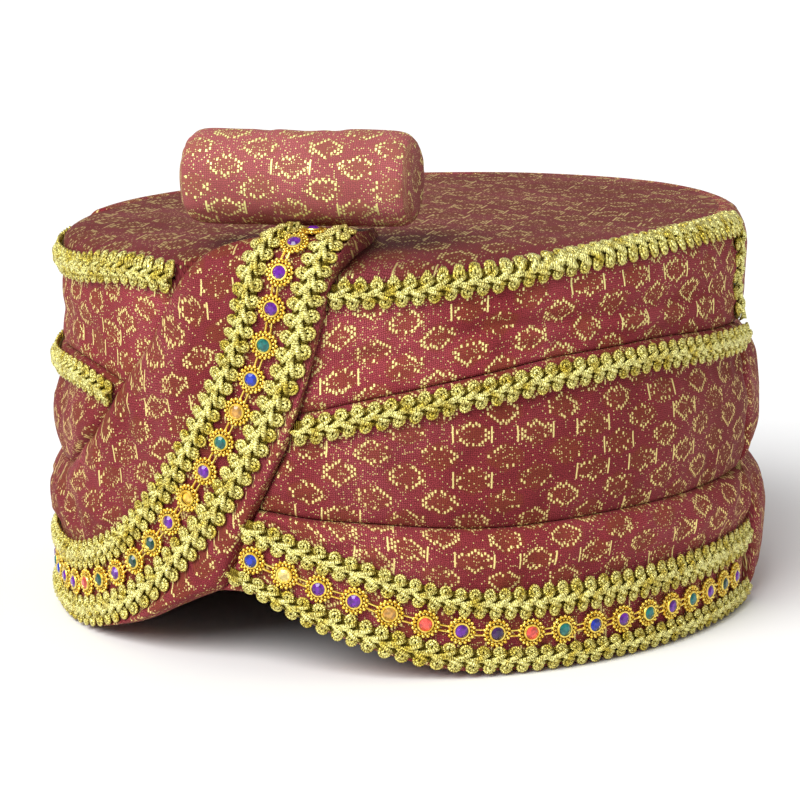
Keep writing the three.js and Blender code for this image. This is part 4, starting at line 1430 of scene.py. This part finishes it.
def cut_stone():
    """A round stone with eight facets about its table, point down in its bezel."""
    bpy.ops.object.select_all(action="DESELECT")
    bpy.ops.mesh.primitive_cone_add(
        vertices=8, radius1=STONE_RADIUS, radius2=STONE_TABLE_RADIUS, depth=STONE_HEIGHT,
        location=(0, 0, STONE_LIFT))
    return taken_apart(settled())


def link_bar():
    """One of the two short bars between neighbouring settings."""
    bpy.ops.object.select_all(action="DESELECT")
    bpy.ops.mesh.primitive_cylinder_add(
        vertices=6, radius=LINK_RADIUS, depth=1.0, rotation=(0, math.pi / 2, 0))
    return taken_apart(settled())


SETTING = setting()
CUT_STONE = cut_stone()
LINK_BAR = link_bar()


def frame_on(on_path, walked):
    """A place on a trim's row of stones with its directions ahead, across and outwards."""
    bed = TRIM_BED_OUT + GAP
    base, ahead, above = (
        on_path(np.array([at]), np.array([0.0]), np.array([lift]))[0] / MM
        for at, lift in ((walked, bed), (walked + 1, bed), (walked, bed + 1))
    )
    ahead, normal = ahead - base, above - base
    across = np.cross(normal, ahead)
    across /= np.linalg.norm(across)
    normal /= np.linalg.norm(normal)
    return base, np.stack([np.cross(across, normal), across, normal])


def gather(name, parts, material, colours=None):
    """One mesh of many placed copies, each given as its corners and faces."""
    corners, faces, tints = [], [], []
    for k, (points, polygons) in enumerate(parts):
        start = sum(len(c) for c in corners)
        corners.append(points)
        faces += [tuple(start + corner for corner in polygon) for polygon in polygons]
        if colours:
            tints += [(*colours[k], 1)] * len(points)
    piece = new_piece(name, np.vstack(corners) * MM, faces)
    if colours:
        note(piece, "stone", "FLOAT_COLOR", "color", tints)
    piece.data.materials.append(material)
    return piece


def jewel_string(name, places, on_path, stones):
    """One trim's string of settings, as its gilt and its stones."""
    frames = [frame_on(on_path, walked) for walked in places]
    gilt_parts = []
    glass_parts = []
    for stone, (base, axes) in zip(stones, frames):
        corners, faces = SETTING
        gilt_parts.append((corners @ axes + base, faces))
        corners, faces = CUT_STONE
        sunk = np.array([1, 1, EMPTY_HEIGHT]) if stone == "empty" else 1
        glass_parts.append((corners * sunk @ axes + base, faces))
    for (base, axes), (after, after_axes) in zip(frames, frames[1:]):
        for side in (-LINK_SIDE, LINK_SIDE):
            start = base + axes[0] * LINK_REACH + axes[1] * side + axes[2] * LINK_LIFT
            end = after - after_axes[0] * LINK_REACH + after_axes[1] * side + after_axes[2] * LINK_LIFT
            run = end - start
            corners, faces = LINK_BAR
            stretch = np.array([np.linalg.norm(run), 1, 1])
            turned = np.stack([run / np.linalg.norm(run), axes[1], axes[2]])
            gilt_parts.append((corners * stretch @ turned + (start + end) / 2, faces))
    settings = gather(f"{name}_settings", gilt_parts, GILT_METAL)
    work_on(settings)
    bpy.ops.object.shade_smooth_by_angle(angle=math.radians(50))
    sew_on(settings, f"{name}_jewels")
    cut = gather(f"{name}_stones", glass_parts, GLASS, [STONES[stone] for stone in stones])
    sew_on(cut, f"{name}_jewels")


band_count = 1 + math.floor((BAND_LENGTH - BAND_LAST_MARGIN - BAND_FIRST_STONE) / STONE_PITCH)
band_places = [BAND_FIRST_STONE + k * STONE_PITCH for k in range(band_count)]
hem_places = [HEM_FIRST_STONE + k * STONE_PITCH for k in range(len(HEM_STONES))]
band_stones = [BAND_STONES[k % len(BAND_STONES)] for k in range(band_count)]
jewel_string("band", band_places, on_band, band_stones)
jewel_string("hem", hem_places, on_hem, HEM_STONES)

# Floor, light and camera
# A pale floor and plain soft light from the front, as in a studio.
FLOOR_SIZE = 60.0
CAMERA_PLACE = (0.18697, -0.79166, 0.20647)
CAMERA_AIM = (-0.00241, -0.00058, 0.05377)
CAMERA_AZIMUTH = math.radians(13.463)
CAMERA_ROLL = math.radians(-0.369)
CAMERA_LENS = 122.83
WORLD_STRENGTH = 0.5
WINDOW_STRENGTH = 3.35
WINDOW_SPREAD = math.radians(44)
WINDOW_DIRECTION = (0.42, 1.0, -0.95)

bpy.ops.object.select_all(action="DESELECT")
bpy.ops.mesh.primitive_plane_add(size=FLOOR_SIZE, location=(0, 0, -0.0002))
floor = settled()
floor.name = "floor"
floor_wire, floor_finish = new_material("pale_floor")
floor_spots = floor_wire.node("TexCoord", output=3).spots(6.0).between(0.0, 1.0)
floor_tone = floor_spots.blend((0.93, 0.93, 0.93, 1), (0.96, 0.96, 0.96, 1))
floor.data.materials.append(floor_finish({"Base Color": floor_tone, "Roughness": 0.9}))

world = bpy.data.worlds.new("studio")
world.use_nodes = True
sky = world.node_tree.nodes["Background"]
sky.inputs["Color"].default_value = (1, 1, 1, 1)
sky.inputs["Strength"].default_value = WORLD_STRENGTH
bpy.context.scene.world = world

# One very large, soft light from the front and a little from the left
bpy.ops.object.light_add(type="SUN", location=(-0.7, -1.4, 1.2))
window = bpy.context.object
window.name = "window_light"
window.data.energy = WINDOW_STRENGTH
window.data.angle = WINDOW_SPREAD
window.rotation_mode = "QUATERNION"
window.rotation_quaternion = Vector(WINDOW_DIRECTION).to_track_quat("-Z", "Y")

forward = (Vector(CAMERA_AIM) - Vector(CAMERA_PLACE)).normalized()
level = Vector((math.cos(CAMERA_AZIMUTH), math.sin(CAMERA_AZIMUTH), 0))
right = level * math.cos(CAMERA_ROLL) + level.cross(forward) * math.sin(CAMERA_ROLL)
upright = right.cross(forward)
bpy.ops.object.camera_add()
camera = bpy.context.object
camera.data.sensor_width = 36
camera.data.lens = CAMERA_LENS
camera.matrix_world = Matrix.Translation(CAMERA_PLACE) @ Matrix(
    (right, upright, -forward)
).transposed().to_4x4()
bpy.context.scene.camera = camera
bpy.context.scene.view_settings.view_transform = "Standard"
